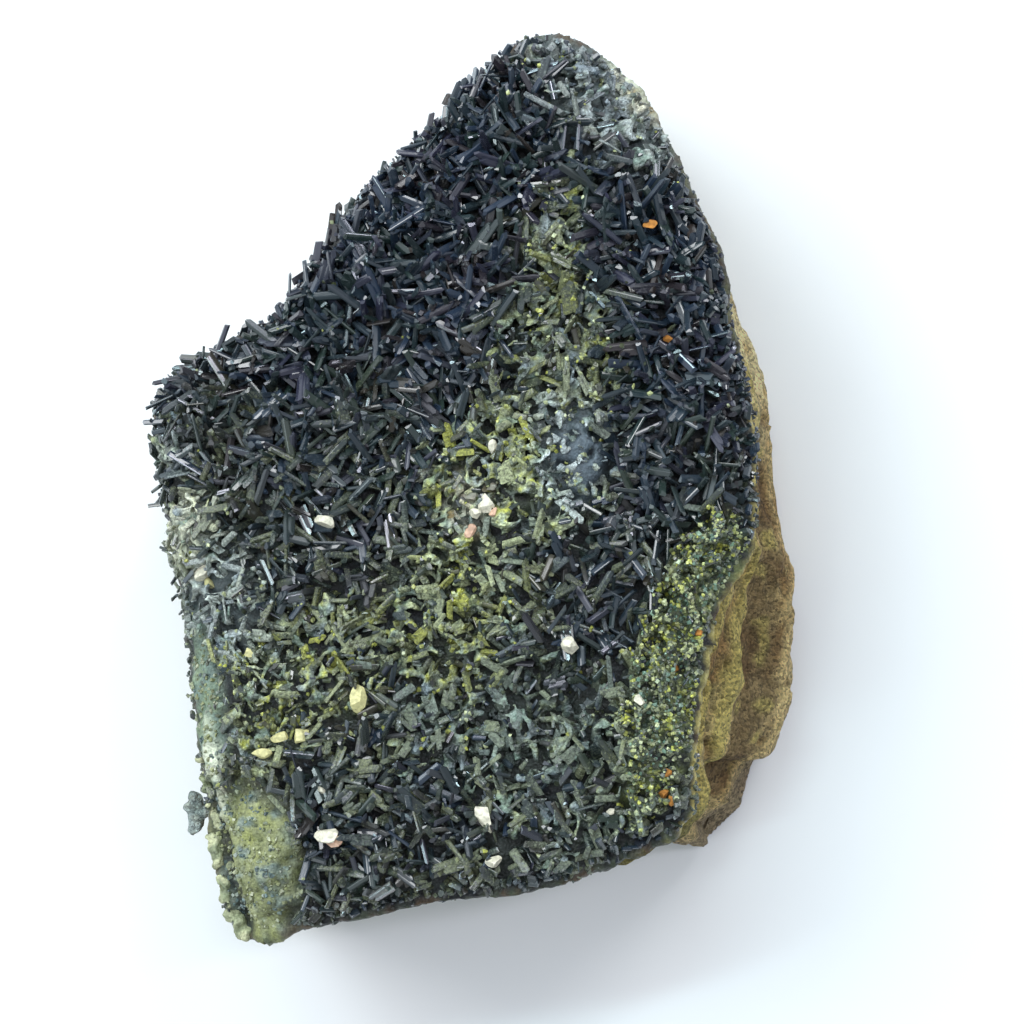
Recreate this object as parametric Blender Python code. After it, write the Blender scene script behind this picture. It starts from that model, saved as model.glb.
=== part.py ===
"""Epidote specimen: a broken block of yellow-brown rock whose upper face is grown over with epidote prisms.

Two pieces, each one closed solid:
  host_rock      the block, which lies on its flat back
  epidote_druse  the crust over the block's upper face, with its prisms grown together in one solid

Lengths are in millimetres and are turned to metres by MM. +Z points out of the crystal face and +Y towards the
pointed end. The origin is under the middle of the specimen, on the surface that it lies on.
"""

import math
import random

import bmesh
import bpy
import numpy as np
from mathutils import Matrix, Vector, noise
from mathutils.bvhtree import BVHTree
from mathutils.geometry import delaunay_2d_cdt

MM = 0.001
SEED = 14

FACE_HEIGHT = 44.0  # the rock's upper face above its back, before its own relief
CRUST = 3.0  # thickness of the massive epidote that the prisms stand on
GAP = 0.3  # between the rock and the crust
ROOT_DEPTH = 1.1  # a prism starts this far under the crust's surface

# The edge of the crystal face, clockwise from the pointed end: x, y, then flare, how far the flank spreads
# below the edge, and drop, how far the face rolls down towards it.
RIM = (
    (11.5, 75.5, 4, 5), (19.5, 72.5, 3, 6), (27.0, 64.5, 1, 5), (31.5, 55.0, 0, 4),
    (35.5, 46.5, 0, 3), (40.5, 35.0, 0, 2), (41.0, 26.0, 2, 2), (43.5, 17.0, 2, 2),
    (45.0, 8.5, 2, 2), (45.0, -2.5, 3, 2), (44.5, -9.5, 6, 3), (39.5, -16.5, 11, 3),
    (37.0, -24.5, 12, 2), (36.0, -34.0, 13, 2), (35.0, -43.0, 10, 2), (35.0, -52.5, 5, 3),
    (26.5, -57.0, 2, 2), (16.0, -61.5, 4, 2), (4.5, -63.5, 3, 2), (-8.5, -65.0, 3, 2),
    (-23.0, -68.5, 3, 3), (-38.5, -71.5, 3, 5), (-41.5, -69.0, 4, 6), (-42.5, -62.5, 5, 6),
    (-44.0, -56.0, 5, 6), (-45.0, -49.5, 4, 5), (-46.0, -41.5, 3, 4), (-48.0, -32.5, 3, 4),
    (-49.0, -23.5, 3, 6), (-50.5, -15.0, 3, 7), (-53.5, -3.5, 3, 8), (-55.0, 10.0, 3, 8),
    (-55.0, 16.0, 3, 7), (-52.0, 20.5, 4, 6), (-45.5, 23.5, 5, 5), (-39.0, 27.5, 5, 4),
    (-35.0, 28.0, 5, 4), (-30.0, 34.0, 4, 4), (-25.0, 41.5, 4, 4), (-20.5, 48.0, 4, 4),
    (-15.5, 53.5, 4, 4), (-10.0, 57.5, 4, 4), (-5.0, 64.0, 4, 4), (0.5, 69.5, 4, 4),
    (6.0, 74.5, 4, 5),
)
RIM_POINTS = 66  # the edge is divided evenly into this many
ROLL = 9.0  # the face starts to roll down this far inside its edge

# The low swell down the middle of the face: points x, y along its crest.
SWELL = ((17.0, 40.0), (12.0, 15.0), (3.0, -6.0), (-10.0, -24.0), (-28.0, -40.0))
SWELL_HEIGHT, SWELL_WIDTH = 2.4, 8.0

# The face's own relief: height and width of its broad and its small waves, and the slopes down at the left and
# towards the point, each with the line where it starts.
BROAD_WAVE, BROAD_WIDTH = 1.5, 24.0
SMALL_WAVE, SMALL_WIDTH = 0.8, 9.0
LEFT_SLOPE, LEFT_START = 0.12, -28.0
POINT_SLOPE, POINT_START = 0.16, 50.0
CRUST_WAVE, CRUST_WIDTH = 0.7, 4.5  # the crust's lumps between the prisms
CRUST_BULGE = 0.7  # how far the crust's edge stands out past the rock's

# The flank from the edge of the face (0) to the back (1), with how much of the flare is reached there.
FLANK = (
    (0.06, 0.10), (0.14, 0.14), (0.24, 0.42), (0.36, 0.52), (0.50, 0.80),
    (0.64, 1.00), (0.78, 0.98), (0.91, 0.90), (1.00, 0.66),
)
RELIEF_START = 0.2  # the flank's relief grows from nothing at its top to its full depth here
LUMP, LUMP_SIZE = 2.0, 15.0  # how far the flank's lumps stand out, and how wide they are
LEDGE, LEDGE_HEIGHT, LEDGE_LENGTH = 1.9, 5.0, 26.0  # the layers that run level along the flank

SPACING = 10.0  # between the points that the face is made of
SCATTER = 3.0  # how far each of them may stand from its place in the row

# Where few or no prisms stand on the crust: name, x, y, half width, half length, turn in degrees, share left.
PATCHES = (
    ("grey felt at the point", 22.0, 60.0, 10.0, 15.0, 30.0, 0.15),
    ("olive felt, upper", 16.0, 32.0, 7.0, 17.0, 10.0, 0.45),
    ("grey felt, middle", 18.0, 5.0, 9.0, 12.0, 0.0, 0.35),
    ("olive felt, middle", 3.0, -7.0, 12.0, 14.0, -30.0, 0.45),
    ("grains beside the right edge", 32.0, -32.0, 6.5, 22.0, 6.0, 0.06),
    ("olive felt, lower", -26.0, -38.0, 17.0, 9.0, -20.0, 0.45),
    ("bare corner", -36.0, -63.0, 8.0, 14.0, 10.0, 0.0),
    ("bare left edge", -46.0, -13.0, 5.0, 12.0, 8.0, 0.10),
)
PATCH_EDGE = (0.8, 1.2)  # the share changes between these parts of a patch's half width

PRISMS = 266
PRISM_LENGTH = (8.0, 13.0)
PRISM_WIDTH = (1.9, 2.9)
PRISM_LEAN = (35.0, 70.0)  # degrees from straight out of the face
TIP_RISE = 1.8  # a tip stands at least this far above the crust
PRISM_CLEARANCE = 2.9  # between the middle lines of two prisms above their roots
HEADINGS = 12  # tries to find a clear way for a prism
STATIONS = 7  # points along a prism where its clearance is read
OVERHANG = 0.8  # a tip reaches no further than this past the face's edge
FLATNESS = 0.72  # thickness over width
ROOT_TAPER = 0.25
TIP_CUTS = ((38.0, 30.0), (52.0,), (30.0, 46.0), (40.0,))  # degrees of slope of a tip's two faces, or its one
RIDGE_OFFSET = 0.02  # how far a tip's ridge lies to one side, as a share of the length
EDGE_MARGIN = 1.2  # roots stay this far inside the crust's edge


def smooth_step(value):
    """0 below 0, 1 above 1, and a smooth rise between."""
    value = max(0.0, min(1.0, value))
    return value * value * (3 - 2 * value)


def divided_rim():
    """The rim divided evenly: a list of (x, y, flare, drop)."""
    points = [Vector(p) for p in RIM]
    spans = [(b.xy - a.xy).length for a, b in zip(points, points[1:] + points[:1])]
    step = sum(spans) / RIM_POINTS
    divided, index, passed = [], 0, 0.0
    for number in range(RIM_POINTS):
        target = number * step
        while passed + spans[index] < target:
            passed += spans[index]
            index += 1
        start, end = points[index], points[(index + 1) % len(points)]
        divided.append(start.lerp(end, (target - passed) / spans[index]))
    return divided


def outward(points):
    """The level direction out of the outline at each of its points, which run clockwise."""
    count = len(points)
    result = []
    for number in range(count):
        along = points[(number + 1) % count].xy - points[number - 1].xy
        result.append(Vector((-along.y, along.x, 0)).normalized())
    return result


def distance_to_path(x, y, path, closed):
    """Level distance from a point to a line through the path's points."""
    here = Vector((x, y))
    ends = list(zip(path, path[1:])) + ([(path[-1], path[0])] if closed else [])
    nearest = math.inf
    for start, end in ends:
        start, along = Vector(start[:2]), Vector(end[:2]) - Vector(start[:2])
        share = max(0.0, min(1.0, (here - start).dot(along) / along.length_squared))
        nearest = min(nearest, (here - start - along * share).length)
    return nearest


def nearest_drop(x, y):
    """How far the face rolls down at the part of the rim nearest to a point."""
    total = weights = 0.0
    for rim_x, rim_y, _, drop in RIM:
        weight = 1 / ((x - rim_x) ** 2 + (y - rim_y) ** 2 + 1) ** 2
        total, weights = total + weight * drop, weights + weight
    return total / weights


def face_height(x, y):
    """Height of the rock's upper face."""
    swell = SWELL_HEIGHT * math.exp(-((distance_to_path(x, y, SWELL, False) / SWELL_WIDTH) ** 2))
    roll = 1 - smooth_step(distance_to_path(x, y, RIM, True) / ROLL)
    broad = BROAD_WAVE * noise.noise(Vector((x, y, 4.0)) / BROAD_WIDTH)
    small = SMALL_WAVE * noise.noise(Vector((x, y, 9.0)) / SMALL_WIDTH)
    slopes = LEFT_SLOPE * max(0.0, LEFT_START - x) + POINT_SLOPE * max(0.0, y - POINT_START)
    return FACE_HEIGHT + swell + broad + small - slopes - nearest_drop(x, y) * roll


def inside(x, y):
    """Whether a point lies inside the rim: a line to its right then crosses it an odd number of times."""
    odd = False
    for (ax, ay, *_), (bx, by, *_) in zip(RIM, RIM[1:] + RIM[:1]):
        if (ay > y) != (by > y) and x < (bx - ax) * (y - ay) / (by - ay) + ax:
            odd = not odd
    return odd


def sheet(rim):
    """Level triangles that fill the rim, as (points, faces). The rim's own points come first."""
    draw = random.Random(SEED)
    inner = []
    reach_x, reach_y = max(abs(p.x) for p in rim), max(abs(p.y) for p in rim)
    row = 0
    y = -reach_y
    while y < reach_y:
        x = -reach_x + (row % 2) * SPACING / 2
        while x < reach_x:
            px, py = x + draw.uniform(-SCATTER, SCATTER), y + draw.uniform(-SCATTER, SCATTER)
            if inside(px, py) and distance_to_path(px, py, RIM, True) > SPACING / 2:
                inner.append(Vector((px, py)))
            x += SPACING
        y += SPACING * math.sqrt(3) / 2
        row += 1
    edge = [p.xy for p in rim]
    ring = [(number, (number + 1) % len(edge)) for number in range(len(edge))]
    points, _, faces, *_ = delaunay_2d_cdt(edge + inner, ring, [], 1, 1e-5)
    return points, faces


def add_sheet(bm, level, height):
    """Adds a sheet of triangles at height(x, y), and returns the edges of its outline."""
    points, faces = level
    verts = [bm.verts.new((p.x, p.y, height(p.x, p.y))) for p in points]
    made = [bm.faces.new([verts[i] for i in face]) for face in faces]
    return list({edge for face in made for edge in face.edges if edge.is_boundary})


def add_loop(bm, points):
    """Adds a closed loop of edges through the points."""
    verts = [bm.verts.new(p) for p in points]
    return [bm.edges.new((verts[number - 1], verts[number])) for number in range(len(verts))]


def finished(bm, name):
    """An object of the closed bmesh, in metres, with its faces pointing out."""
    bmesh.ops.triangulate(bm, faces=bm.faces, quad_method="SHORT_EDGE")
    bmesh.ops.recalc_face_normals(bm, faces=bm.faces)
    bmesh.ops.scale(bm, vec=(MM, MM, MM), verts=bm.verts)
    mesh = bpy.data.meshes.new(name)
    bm.to_mesh(mesh)
    bm.free()
    obj = bpy.data.objects.new(name, mesh)
    bpy.context.scene.collection.objects.link(obj)
    return obj


def flank_loop(rim, away, share, spread):
    """The flank's points at this share of the way down to the back."""
    points = []
    for corner, out in zip(rim, away):
        z = face_height(corner.x, corner.y) * (1 - share)
        place = Vector((corner.x, corner.y, z))
        lump = LUMP * noise.noise(place / LUMP_SIZE)
        layer = Vector((corner.x / LEDGE_LENGTH, corner.y / LEDGE_LENGTH, z / LEDGE_HEIGHT))
        ledge = LEDGE * noise.noise(layer)
        points.append(place + out * (corner.z * spread + (lump + ledge) * smooth_step(share / RELIEF_START)))
    return points


def build_rock(rim, level):
    """The block: its upper face, the flank's loops joined one to the next, and the flat back."""
    bm = bmesh.new()
    above = add_sheet(bm, level, face_height)
    away = outward(rim)
    for share, spread in FLANK:
        below = add_loop(bm, flank_loop(rim, away, share, spread))
        bmesh.ops.bridge_loops(bm, edges=above + below)
        above = below
    bmesh.ops.contextual_create(bm, geom=above)
    return finished(bm, "host_rock")


def crust_top(x, y):
    """Height of the crust's upper side, with the small lumps between the prisms."""
    return face_height(x, y) + GAP + CRUST + CRUST_WAVE * noise.noise(Vector((x, y, 2.0)) / CRUST_WIDTH)


def build_crust(rim, level):
    """The crust: its underside follows the rock's face at a small gap, and its edge bulges out a little."""
    bm = bmesh.new()
    underside = add_sheet(bm, level, lambda x, y: face_height(x, y) + GAP)
    bulge = [
        Vector((p.x, p.y, face_height(p.x, p.y) + GAP + CRUST / 2)) + out * CRUST_BULGE
        for p, out in zip(rim, outward(rim))
    ]
    middle = add_loop(bm, bulge)
    bmesh.ops.bridge_loops(bm, edges=underside + middle)
    upper = add_sheet(bm, level, crust_top)
    bmesh.ops.bridge_loops(bm, edges=middle + upper)
    return finished(bm, "epidote_druse")


def prism_template(slopes):
    """A flattened four-sided prism of unit length and width up +Z, with a tapered root and a sloping tip."""
    bm = bmesh.new()
    radius = math.sqrt(0.5)
    bmesh.ops.create_cone(bm, cap_ends=True, segments=4, radius1=radius, radius2=radius, depth=1)
    bmesh.ops.rotate(bm, matrix=Matrix.Rotation(math.radians(45), 3, "Z"), verts=bm.verts)
    bmesh.ops.translate(bm, vec=(0, 0, 0.5), verts=bm.verts)
    bmesh.ops.scale(bm, vec=(1, FLATNESS, 1), verts=bm.verts)
    for side, slope in zip((1, -1), slopes):
        normal = Vector((side * math.sin(math.radians(slope)), 0.0, math.cos(math.radians(slope))))
        plane = bmesh.ops.bisect_plane(
            bm,
            geom=bm.verts[:] + bm.edges[:] + bm.faces[:],
            plane_co=(0, 0, 1 - RIDGE_OFFSET * side),
            plane_no=normal,
            clear_outer=True,
        )
        cut = [part for part in plane["geom_cut"] if isinstance(part, bmesh.types.BMEdge)]
        bmesh.ops.contextual_create(bm, geom=cut)
    lowest = min(v.co.z for v in bm.verts)
    root = [v for v in bm.verts if v.co.z - lowest < RIDGE_OFFSET]
    bmesh.ops.scale(bm, vec=(ROOT_TAPER, ROOT_TAPER, 1), verts=root)
    return bm


def share_of_prisms(x, y):
    """1 where the prisms stand close, less inside a patch."""
    share = 1.0
    for _, patch_x, patch_y, half_width, half_length, turn, inner_share in PATCHES:
        offset = Matrix.Rotation(math.radians(-turn), 2) @ Vector((x - patch_x, y - patch_y))
        away = math.hypot(offset.x / half_width, offset.y / half_length)
        outside = smooth_step((away - PATCH_EDGE[0]) / (PATCH_EDGE[1] - PATCH_EDGE[0]))
        share = min(share, inner_share + (1 - inner_share) * outside)
    return share


def templates():
    """One mesh for each kind of tip."""
    made = []
    for slopes in TIP_CUTS:
        template = bpy.data.meshes.new("prism_template")
        shape = prism_template(slopes)
        shape.to_mesh(template)
        shape.free()
        made.append(template)
    return made


def roots(draw):
    """Gives places x, y on the face where a prism could start."""
    reach_x, reach_y = max(abs(p[0]) for p in RIM), max(abs(p[1]) for p in RIM)
    while True:
        x, y = draw.uniform(-reach_x, reach_x), draw.uniform(-reach_y, reach_y)
        wanted = draw.random() < share_of_prisms(x, y)
        if wanted and inside(x, y) and distance_to_path(x, y, RIM, True) > EDGE_MARGIN:
            yield x, y


def surface_below(ground, x, y):
    """The point and the direction out of the surface at x, y, or None, None past its edge."""
    point, normal, *_ = ground.ray_cast(Vector((x, y, 2 * FACE_HEIGHT)), Vector((0, 0, -1)))
    return point, normal


def clear_way(draw, ground, spot, normal, length, taken):
    """A leaning direction in which a prism of this length meets none of the points taken, or None."""
    for _ in range(HEADINGS):
        lean = math.radians(draw.uniform(*PRISM_LEAN))
        across = normal.orthogonal().normalized()
        across.rotate(Matrix.Rotation(draw.uniform(0, math.tau), 3, normal))
        direction = normal * math.cos(lean) + across * math.sin(lean)
        tip = spot + direction * length
        if not inside(tip.x, tip.y) and distance_to_path(tip.x, tip.y, RIM, True) > OVERHANG:
            continue
        below, _ = surface_below(ground, tip.x, tip.y)
        if below and tip.z - below.z < TIP_RISE:
            continue
        line = np.linspace(spot, tip, STATIONS)
        apart = np.linalg.norm(line[:, None] - taken[None], axis=2)
        if not len(taken) or apart.min() > PRISM_CLEARANCE:
            return direction
    return None


def add_prism(bm, draw, shape, spot, direction, length):
    """Adds a prism of the shape from the spot along the direction, turned about itself by chance."""
    width = draw.uniform(*PRISM_WIDTH)
    lean = direction.to_track_quat("Z", "Y").to_matrix().to_4x4()
    roll = Matrix.Rotation(draw.uniform(0, math.tau), 4, "Z")
    size = Matrix.Diagonal((width, width, length, 1))
    before = set(bm.verts)
    bm.from_mesh(shape)
    new = [v for v in bm.verts if v not in before]
    bmesh.ops.transform(bm, matrix=Matrix.Translation(spot) @ lean @ roll @ size, verts=new)


def build_prisms(crust):
    """All the prisms in one mesh, each rooted in the crust and leaning its own way."""
    draw = random.Random(SEED)
    ground = BVHTree.FromPolygons(
        [v.co / MM for v in crust.data.vertices], [tuple(p.vertices) for p in crust.data.polygons]
    )
    shapes = templates()
    taken = np.zeros((0, 3))
    places = roots(draw)
    bm = bmesh.new()
    while len(taken) < PRISMS * STATIONS:
        face, normal = surface_below(ground, *next(places))
        spot = face - Vector((0, 0, ROOT_DEPTH))
        length = draw.uniform(*PRISM_LENGTH)
        direction = clear_way(draw, ground, spot, normal, length, taken)
        if direction is None:
            continue
        taken = np.vstack((taken, np.linspace(spot, spot + direction * length, STATIONS)))
        add_prism(bm, draw, draw.choice(shapes), spot, direction, length)
    prisms = finished(bm, "prisms")
    prisms.hide_render = True
    prisms.display_type = "WIRE"
    return prisms


def grow_together(crust, prisms):
    """Joins the crust and the prisms in one solid."""
    union = crust.modifiers.new("grown together", "BOOLEAN")
    union.operation = "UNION"
    union.solver = "EXACT"
    union.use_self = True
    union.object = prisms


def centre_on_back(objects):
    """Moves the objects so that the middle of the specimen stands over the origin, on its back."""
    graph = bpy.context.evaluated_depsgraph_get()
    corners = []
    for obj in objects:
        if not obj.hide_render:
            corners += [obj.matrix_world @ Vector(c) for c in obj.evaluated_get(graph).bound_box]
    low = Vector(map(min, *corners))
    high = Vector(map(max, *corners))
    for obj in objects:
        obj.location -= Vector(((low.x + high.x) / 2, (low.y + high.y) / 2, low.z))


def paint(obj, name, colour, roughness):
    """Gives the object its own material."""
    material = bpy.data.materials.new(name)
    material.use_nodes = True
    shader = material.node_tree.nodes["Principled BSDF"]
    shader.inputs["Base Color"].default_value = (*colour, 1)
    shader.inputs["Roughness"].default_value = roughness
    shader.inputs["Metallic"].default_value = 0.0
    obj.data.materials.append(material)


def main():
    for obj in list(bpy.data.objects):
        bpy.data.objects.remove(obj)
    rim = divided_rim()
    level = sheet(rim)
    rock = build_rock(rim, level)
    crust = build_crust(rim, level)
    prisms = build_prisms(crust)
    grow_together(crust, prisms)
    centre_on_back([rock, crust, prisms])
    paint(rock, "limonite-stained skarn", (0.17, 0.13, 0.06), 0.9)
    paint(crust, "dark epidote", (0.03, 0.04, 0.035), 0.3)


main()
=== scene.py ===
# %% [markdown]
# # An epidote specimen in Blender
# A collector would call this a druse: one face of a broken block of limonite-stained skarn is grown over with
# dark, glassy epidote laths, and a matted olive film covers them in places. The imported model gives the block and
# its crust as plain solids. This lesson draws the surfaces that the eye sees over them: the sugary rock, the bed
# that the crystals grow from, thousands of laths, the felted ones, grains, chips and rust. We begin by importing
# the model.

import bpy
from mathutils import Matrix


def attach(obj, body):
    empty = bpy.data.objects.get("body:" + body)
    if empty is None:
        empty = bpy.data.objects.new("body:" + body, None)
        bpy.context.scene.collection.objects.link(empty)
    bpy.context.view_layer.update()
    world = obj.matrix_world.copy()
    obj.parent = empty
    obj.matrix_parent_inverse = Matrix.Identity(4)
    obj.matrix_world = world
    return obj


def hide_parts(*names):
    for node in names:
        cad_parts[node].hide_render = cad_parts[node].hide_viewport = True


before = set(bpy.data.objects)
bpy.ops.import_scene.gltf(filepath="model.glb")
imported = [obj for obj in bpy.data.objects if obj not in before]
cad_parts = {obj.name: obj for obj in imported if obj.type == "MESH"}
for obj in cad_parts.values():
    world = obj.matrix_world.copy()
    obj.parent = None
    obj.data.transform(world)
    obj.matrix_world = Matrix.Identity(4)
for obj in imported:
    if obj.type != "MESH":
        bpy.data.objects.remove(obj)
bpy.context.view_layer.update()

# %% [markdown]
# ## Millimetres, colours and noise
# The frame is in metres, but crystals are thought of in millimetres, so we work in those and turn them at the
# end. Natural surfaces are uneven at several sizes at once, and smooth noise gives each size in turn. Every
# random draw comes from one seeded source, so the specimen is the same one each time.

# %% Import what the lesson uses
import math
from functools import partial

import bmesh
import bpy
import numpy as np
from mathutils import Matrix, Vector, noise
from mathutils.bvhtree import BVHTree

MM = 0.001
draw = np.random.default_rng(21)


def linear(hex_colour):
    """An sRGB colour such as #8a8f3c as the linear red, green and blue that Blender works in."""
    parts = [int(hex_colour[i : i + 2], 16) / 255 for i in (1, 3, 5)]
    return np.array([c / 12.92 if c <= 0.04045 else ((c + 0.055) / 1.055) ** 2.4 for c in parts])


def ripples(points, size, shift=0.0):
    """Smooth noise from about -1 to 1, with bumps of that size in mm. Three sizes stretch it."""
    return np.array([noise.noise(p) for p in (points / np.array(size) + shift).tolist()])


def rise(low, high, values):
    """0 below low, 1 above high, and a smooth step between."""
    part = np.clip((values - low) / (high - low), 0, 1)
    return part * part * (3 - 2 * part)


def blended(first, second, share):
    """Rows of colour between first and second, by each row's share."""
    return first * (1 - share[:, None]) + second * share[:, None]


def painted(colour, *layers):
    """The colours with each layer's colour laid over them in turn, by its share."""
    for layer, share in layers:
        colour = blended(colour, layer, share)
    return colour


print("linear mid grey", linear("#808080").round(3))

# %% [markdown]
# ## Read and write whole meshes
# A voxel remesh draws any closed shape again with even little faces, which can then be pushed in and out. NumPy
# moves all the points at once, so we need their places, the ways they face, and a way to put them back. A
# colour layer carries a colour for each point to the material.

# %% Mesh helpers


def remeshed(mesh, voxel, soften=0):
    """The mesh drawn again with even faces, about one voxel in mm across, and softened that many times."""
    piece = bpy.data.objects.new("remeshing", mesh)
    bpy.context.scene.collection.objects.link(piece)
    remesh = piece.modifiers.new("Even faces", "REMESH")
    remesh.mode = "VOXEL"
    remesh.voxel_size = voxel * MM
    if soften:
        smooth = piece.modifiers.new("Soften", "SMOOTH")
        smooth.iterations = soften
    graph = bpy.context.evaluated_depsgraph_get()
    even = bpy.data.meshes.new_from_object(piece.evaluated_get(graph))
    bpy.data.objects.remove(piece)
    return even


def places(mesh):
    """The mesh's points, in mm."""
    found = np.empty(len(mesh.vertices) * 3, np.float32)
    mesh.vertices.foreach_get("co", found)
    return found.reshape(-1, 3).astype(float) / MM


def facings(mesh):
    """The way that the surface faces at each point."""
    found = np.empty(len(mesh.vertices) * 3, np.float32)
    mesh.vertex_normals.foreach_get("vector", found)
    return found.reshape(-1, 3).astype(float)


def move_to(mesh, points):
    """Puts the mesh's points at these places, in mm."""
    mesh.vertices.foreach_set("co", (points * MM).astype(np.float32).ravel())
    mesh.update()


def keep_colours(mesh, name, colours, amounts=None):
    """Stores a colour for each point, and an amount from 0 to 1 as its alpha."""
    layer = mesh.attributes.new(name, "FLOAT_COLOR", "POINT")
    alpha = np.ones(len(colours)) if amounts is None else amounts
    layer.data.foreach_set("color", np.column_stack([colours, alpha]).astype(np.float32).ravel())


def add_piece(name, mesh, replaced, material, even=False):
    """Makes the mesh a piece of the specimen that stands for a CAD node, with even shading if told."""
    piece = bpy.data.objects.new(name, mesh)
    bpy.context.scene.collection.objects.link(piece)
    mesh.materials.clear()
    mesh.materials.append(material)
    if even:
        mesh.shade_smooth()
    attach(piece, "root")
    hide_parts(replaced)
    triangles = sum(len(face.vertices) - 2 for face in mesh.polygons)
    print(name, triangles, "triangles")
    return piece


# %% [markdown]
# ## The camera
# The specimen lies on its back, and the camera looks almost straight down on the crystal face, 11 degrees off
# the vertical, from the side where the broken flank shows. The pointed end is at the top of the view. Things
# that have a known place in the view are found by a ray through their pixel.

# %% Set the camera
CAMERA_TURN, CAMERA_RISE = math.radians(60), math.radians(79)
CAMERA_AIM = Vector((11.27, -7.02, 48.0)) * MM
CAMERA_DISTANCE = 0.38
VIEW_PIXELS = 1024  # across
PIXELS_PER_MM = 6.3  # at the aim
FOCAL_PIXELS = PIXELS_PER_MM / MM * CAMERA_DISTANCE

level = math.cos(CAMERA_RISE)
camera_back = Vector((math.sin(CAMERA_TURN) * level, -math.cos(CAMERA_TURN) * level, math.sin(CAMERA_RISE)))
camera_right = Vector((0, 1, 0)).cross(camera_back).normalized()
camera_up = camera_back.cross(camera_right)
camera = bpy.data.objects.new("camera", bpy.data.cameras.new("camera"))
bpy.context.scene.collection.objects.link(camera)
camera_turned = Matrix((camera_right, camera_up, camera_back)).transposed().to_4x4()
camera.matrix_world = Matrix.Translation(CAMERA_AIM + camera_back * CAMERA_DISTANCE) @ camera_turned
camera.data.sensor_width = 36
camera.data.lens = camera.data.sensor_width * FOCAL_PIXELS / VIEW_PIXELS
bpy.context.scene.camera = camera
print("lens", round(camera.data.lens, 1), "mm")


def aside_and_up(across, down):
    """How far a pixel is to the right of the view's middle, and above it, in pixels."""
    return across - VIEW_PIXELS / 2, VIEW_PIXELS / 2 - down


def ray_through(pixel):
    """The way from the camera through a pixel of the view."""
    aside, up = aside_and_up(*pixel)
    return camera_right * aside / FOCAL_PIXELS + camera_up * up / FOCAL_PIXELS - camera_back


def seen_through(pixel, surface):
    """The point of a surface, in metres, that the camera sees through a pixel, if there is one."""
    return surface.ray_cast(camera.matrix_world.translation, ray_through(pixel).normalized())[0]

# %% [markdown]
# ## The face that the crystals grow on
# The rock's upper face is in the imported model, under the crust. Its triangles are the ones whose corners all lie
# just under the crust's solid, one narrow gap away. We lift that sheet out: its border is the rim of the crystal
# face, and rays cast down on it give the height and the slope anywhere.

# %% Lift the sheet out of the rock
GAP = 0.3  # between the rock and the crust, in mm


def merged(node):
    """A bmesh of a CAD node's mesh, with its loose triangles joined."""
    shape = bmesh.new()
    shape.from_mesh(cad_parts[node].data)
    bmesh.ops.remove_doubles(shape, verts=shape.verts[:], dist=0.01 * MM)
    return shape


crust = merged("epidote_druse")
crust_near = BVHTree.FromBMesh(crust)
sheet = merged("host_rock")
buried = {v for v in sheet.verts if crust_near.find_nearest(v.co, (GAP + 0.05) * MM)[0] is not None}
open_faces = [f for f in sheet.faces if not all(v in buried for v in f.verts)]
bmesh.ops.delete(sheet, geom=open_faces, context="FACES")
crust.free()
sheet_near = BVHTree.FromBMesh(sheet)

# %% Walk round the rim
border = [edge for edge in sheet.edges if edge.is_boundary]
walk = [border[0].verts[0]]
edge = border[0]
while len(walk) < len(border):
    walk.append(edge.other_vert(walk[-1]))
    edge = next(e for e in walk[-1].link_edges if e.is_boundary and e is not edge)
rim = np.array([v.co for v in walk], float) / MM
print("sheet faces", len(sheet.faces), "rim points", len(rim))


def outwards(points):
    """The level direction from each point to the nearest part of the rim."""
    middles = (rim + np.roll(rim, -1, 0)) / 2
    both = np.concatenate([rim, middles])
    gaps = np.linalg.norm(points[:, None, :2] - both[:, :2], axis=-1)
    near = np.exp(-((gaps - gaps.min(1, keepdims=True)) ** 2) / 8)
    way = near @ both[:, :2] / near.sum(1, keepdims=True) - points[:, :2]
    far = np.maximum(np.linalg.norm(way, axis=1), 0.01)
    return np.column_stack([way, np.zeros(len(points))]) / far[:, None]


def inside_rim(points):
    """How far inside the rim each point is, in mm, seen from above: below zero is outside."""
    flat = points[:, None, :2]
    start, end = rim[:, :2], np.roll(rim[:, :2], -1, 0)
    along = end - start
    part = np.clip(((flat - start) * along).sum(-1) / (along**2).sum(-1), 0, 1)
    away = np.linalg.norm(flat - start - part[..., None] * along, axis=-1).min(1)
    crosses = (start[:, 1] > flat[..., 1]) != (end[:, 1] > flat[..., 1])
    climb = np.where(along[:, 1] == 0, 1e-9, along[:, 1])
    meets = start[:, 0] + (flat[..., 1] - start[:, 1]) * along[:, 0] / climb
    within = (crosses & (flat[..., 0] < meets)).sum(1) % 2 == 1
    return np.where(within, away, -away)


def rim_height(points):
    """The rim's own height beside each point, in mm."""
    gaps = np.linalg.norm(points[:, None, :2] - rim[:, :2], axis=-1)
    near = np.exp(-((gaps - gaps.min(1, keepdims=True)) ** 2) / 18)
    return (near * rim[:, 2]).sum(1) / near.sum(1)


# %% [markdown]
# ## Where each kind of growth lies
# A specimen is read in patches: black glassy laths at the left, top and right, a felted olive streak down the
# middle, grey felt at the point, sparkling granules beside the right edge, and a massive pale corner. Each patch
# is a named oval, whose middle is given as a pixel of the view. Noise frays its edge, because nothing in nature
# ends on an oval.

# %% Place the patches


def under_pixel(pixel):
    """The point of the sheet, in mm, that the camera sees through a pixel."""
    hit = seen_through(pixel, sheet_near)
    if hit is None:
        aside, up = aside_and_up(*pixel)
        hit = CAMERA_AIM + camera_right * aside * MM / PIXELS_PER_MM + camera_up * up * MM / PIXELS_PER_MM
    return np.array(hit) / MM


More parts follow.
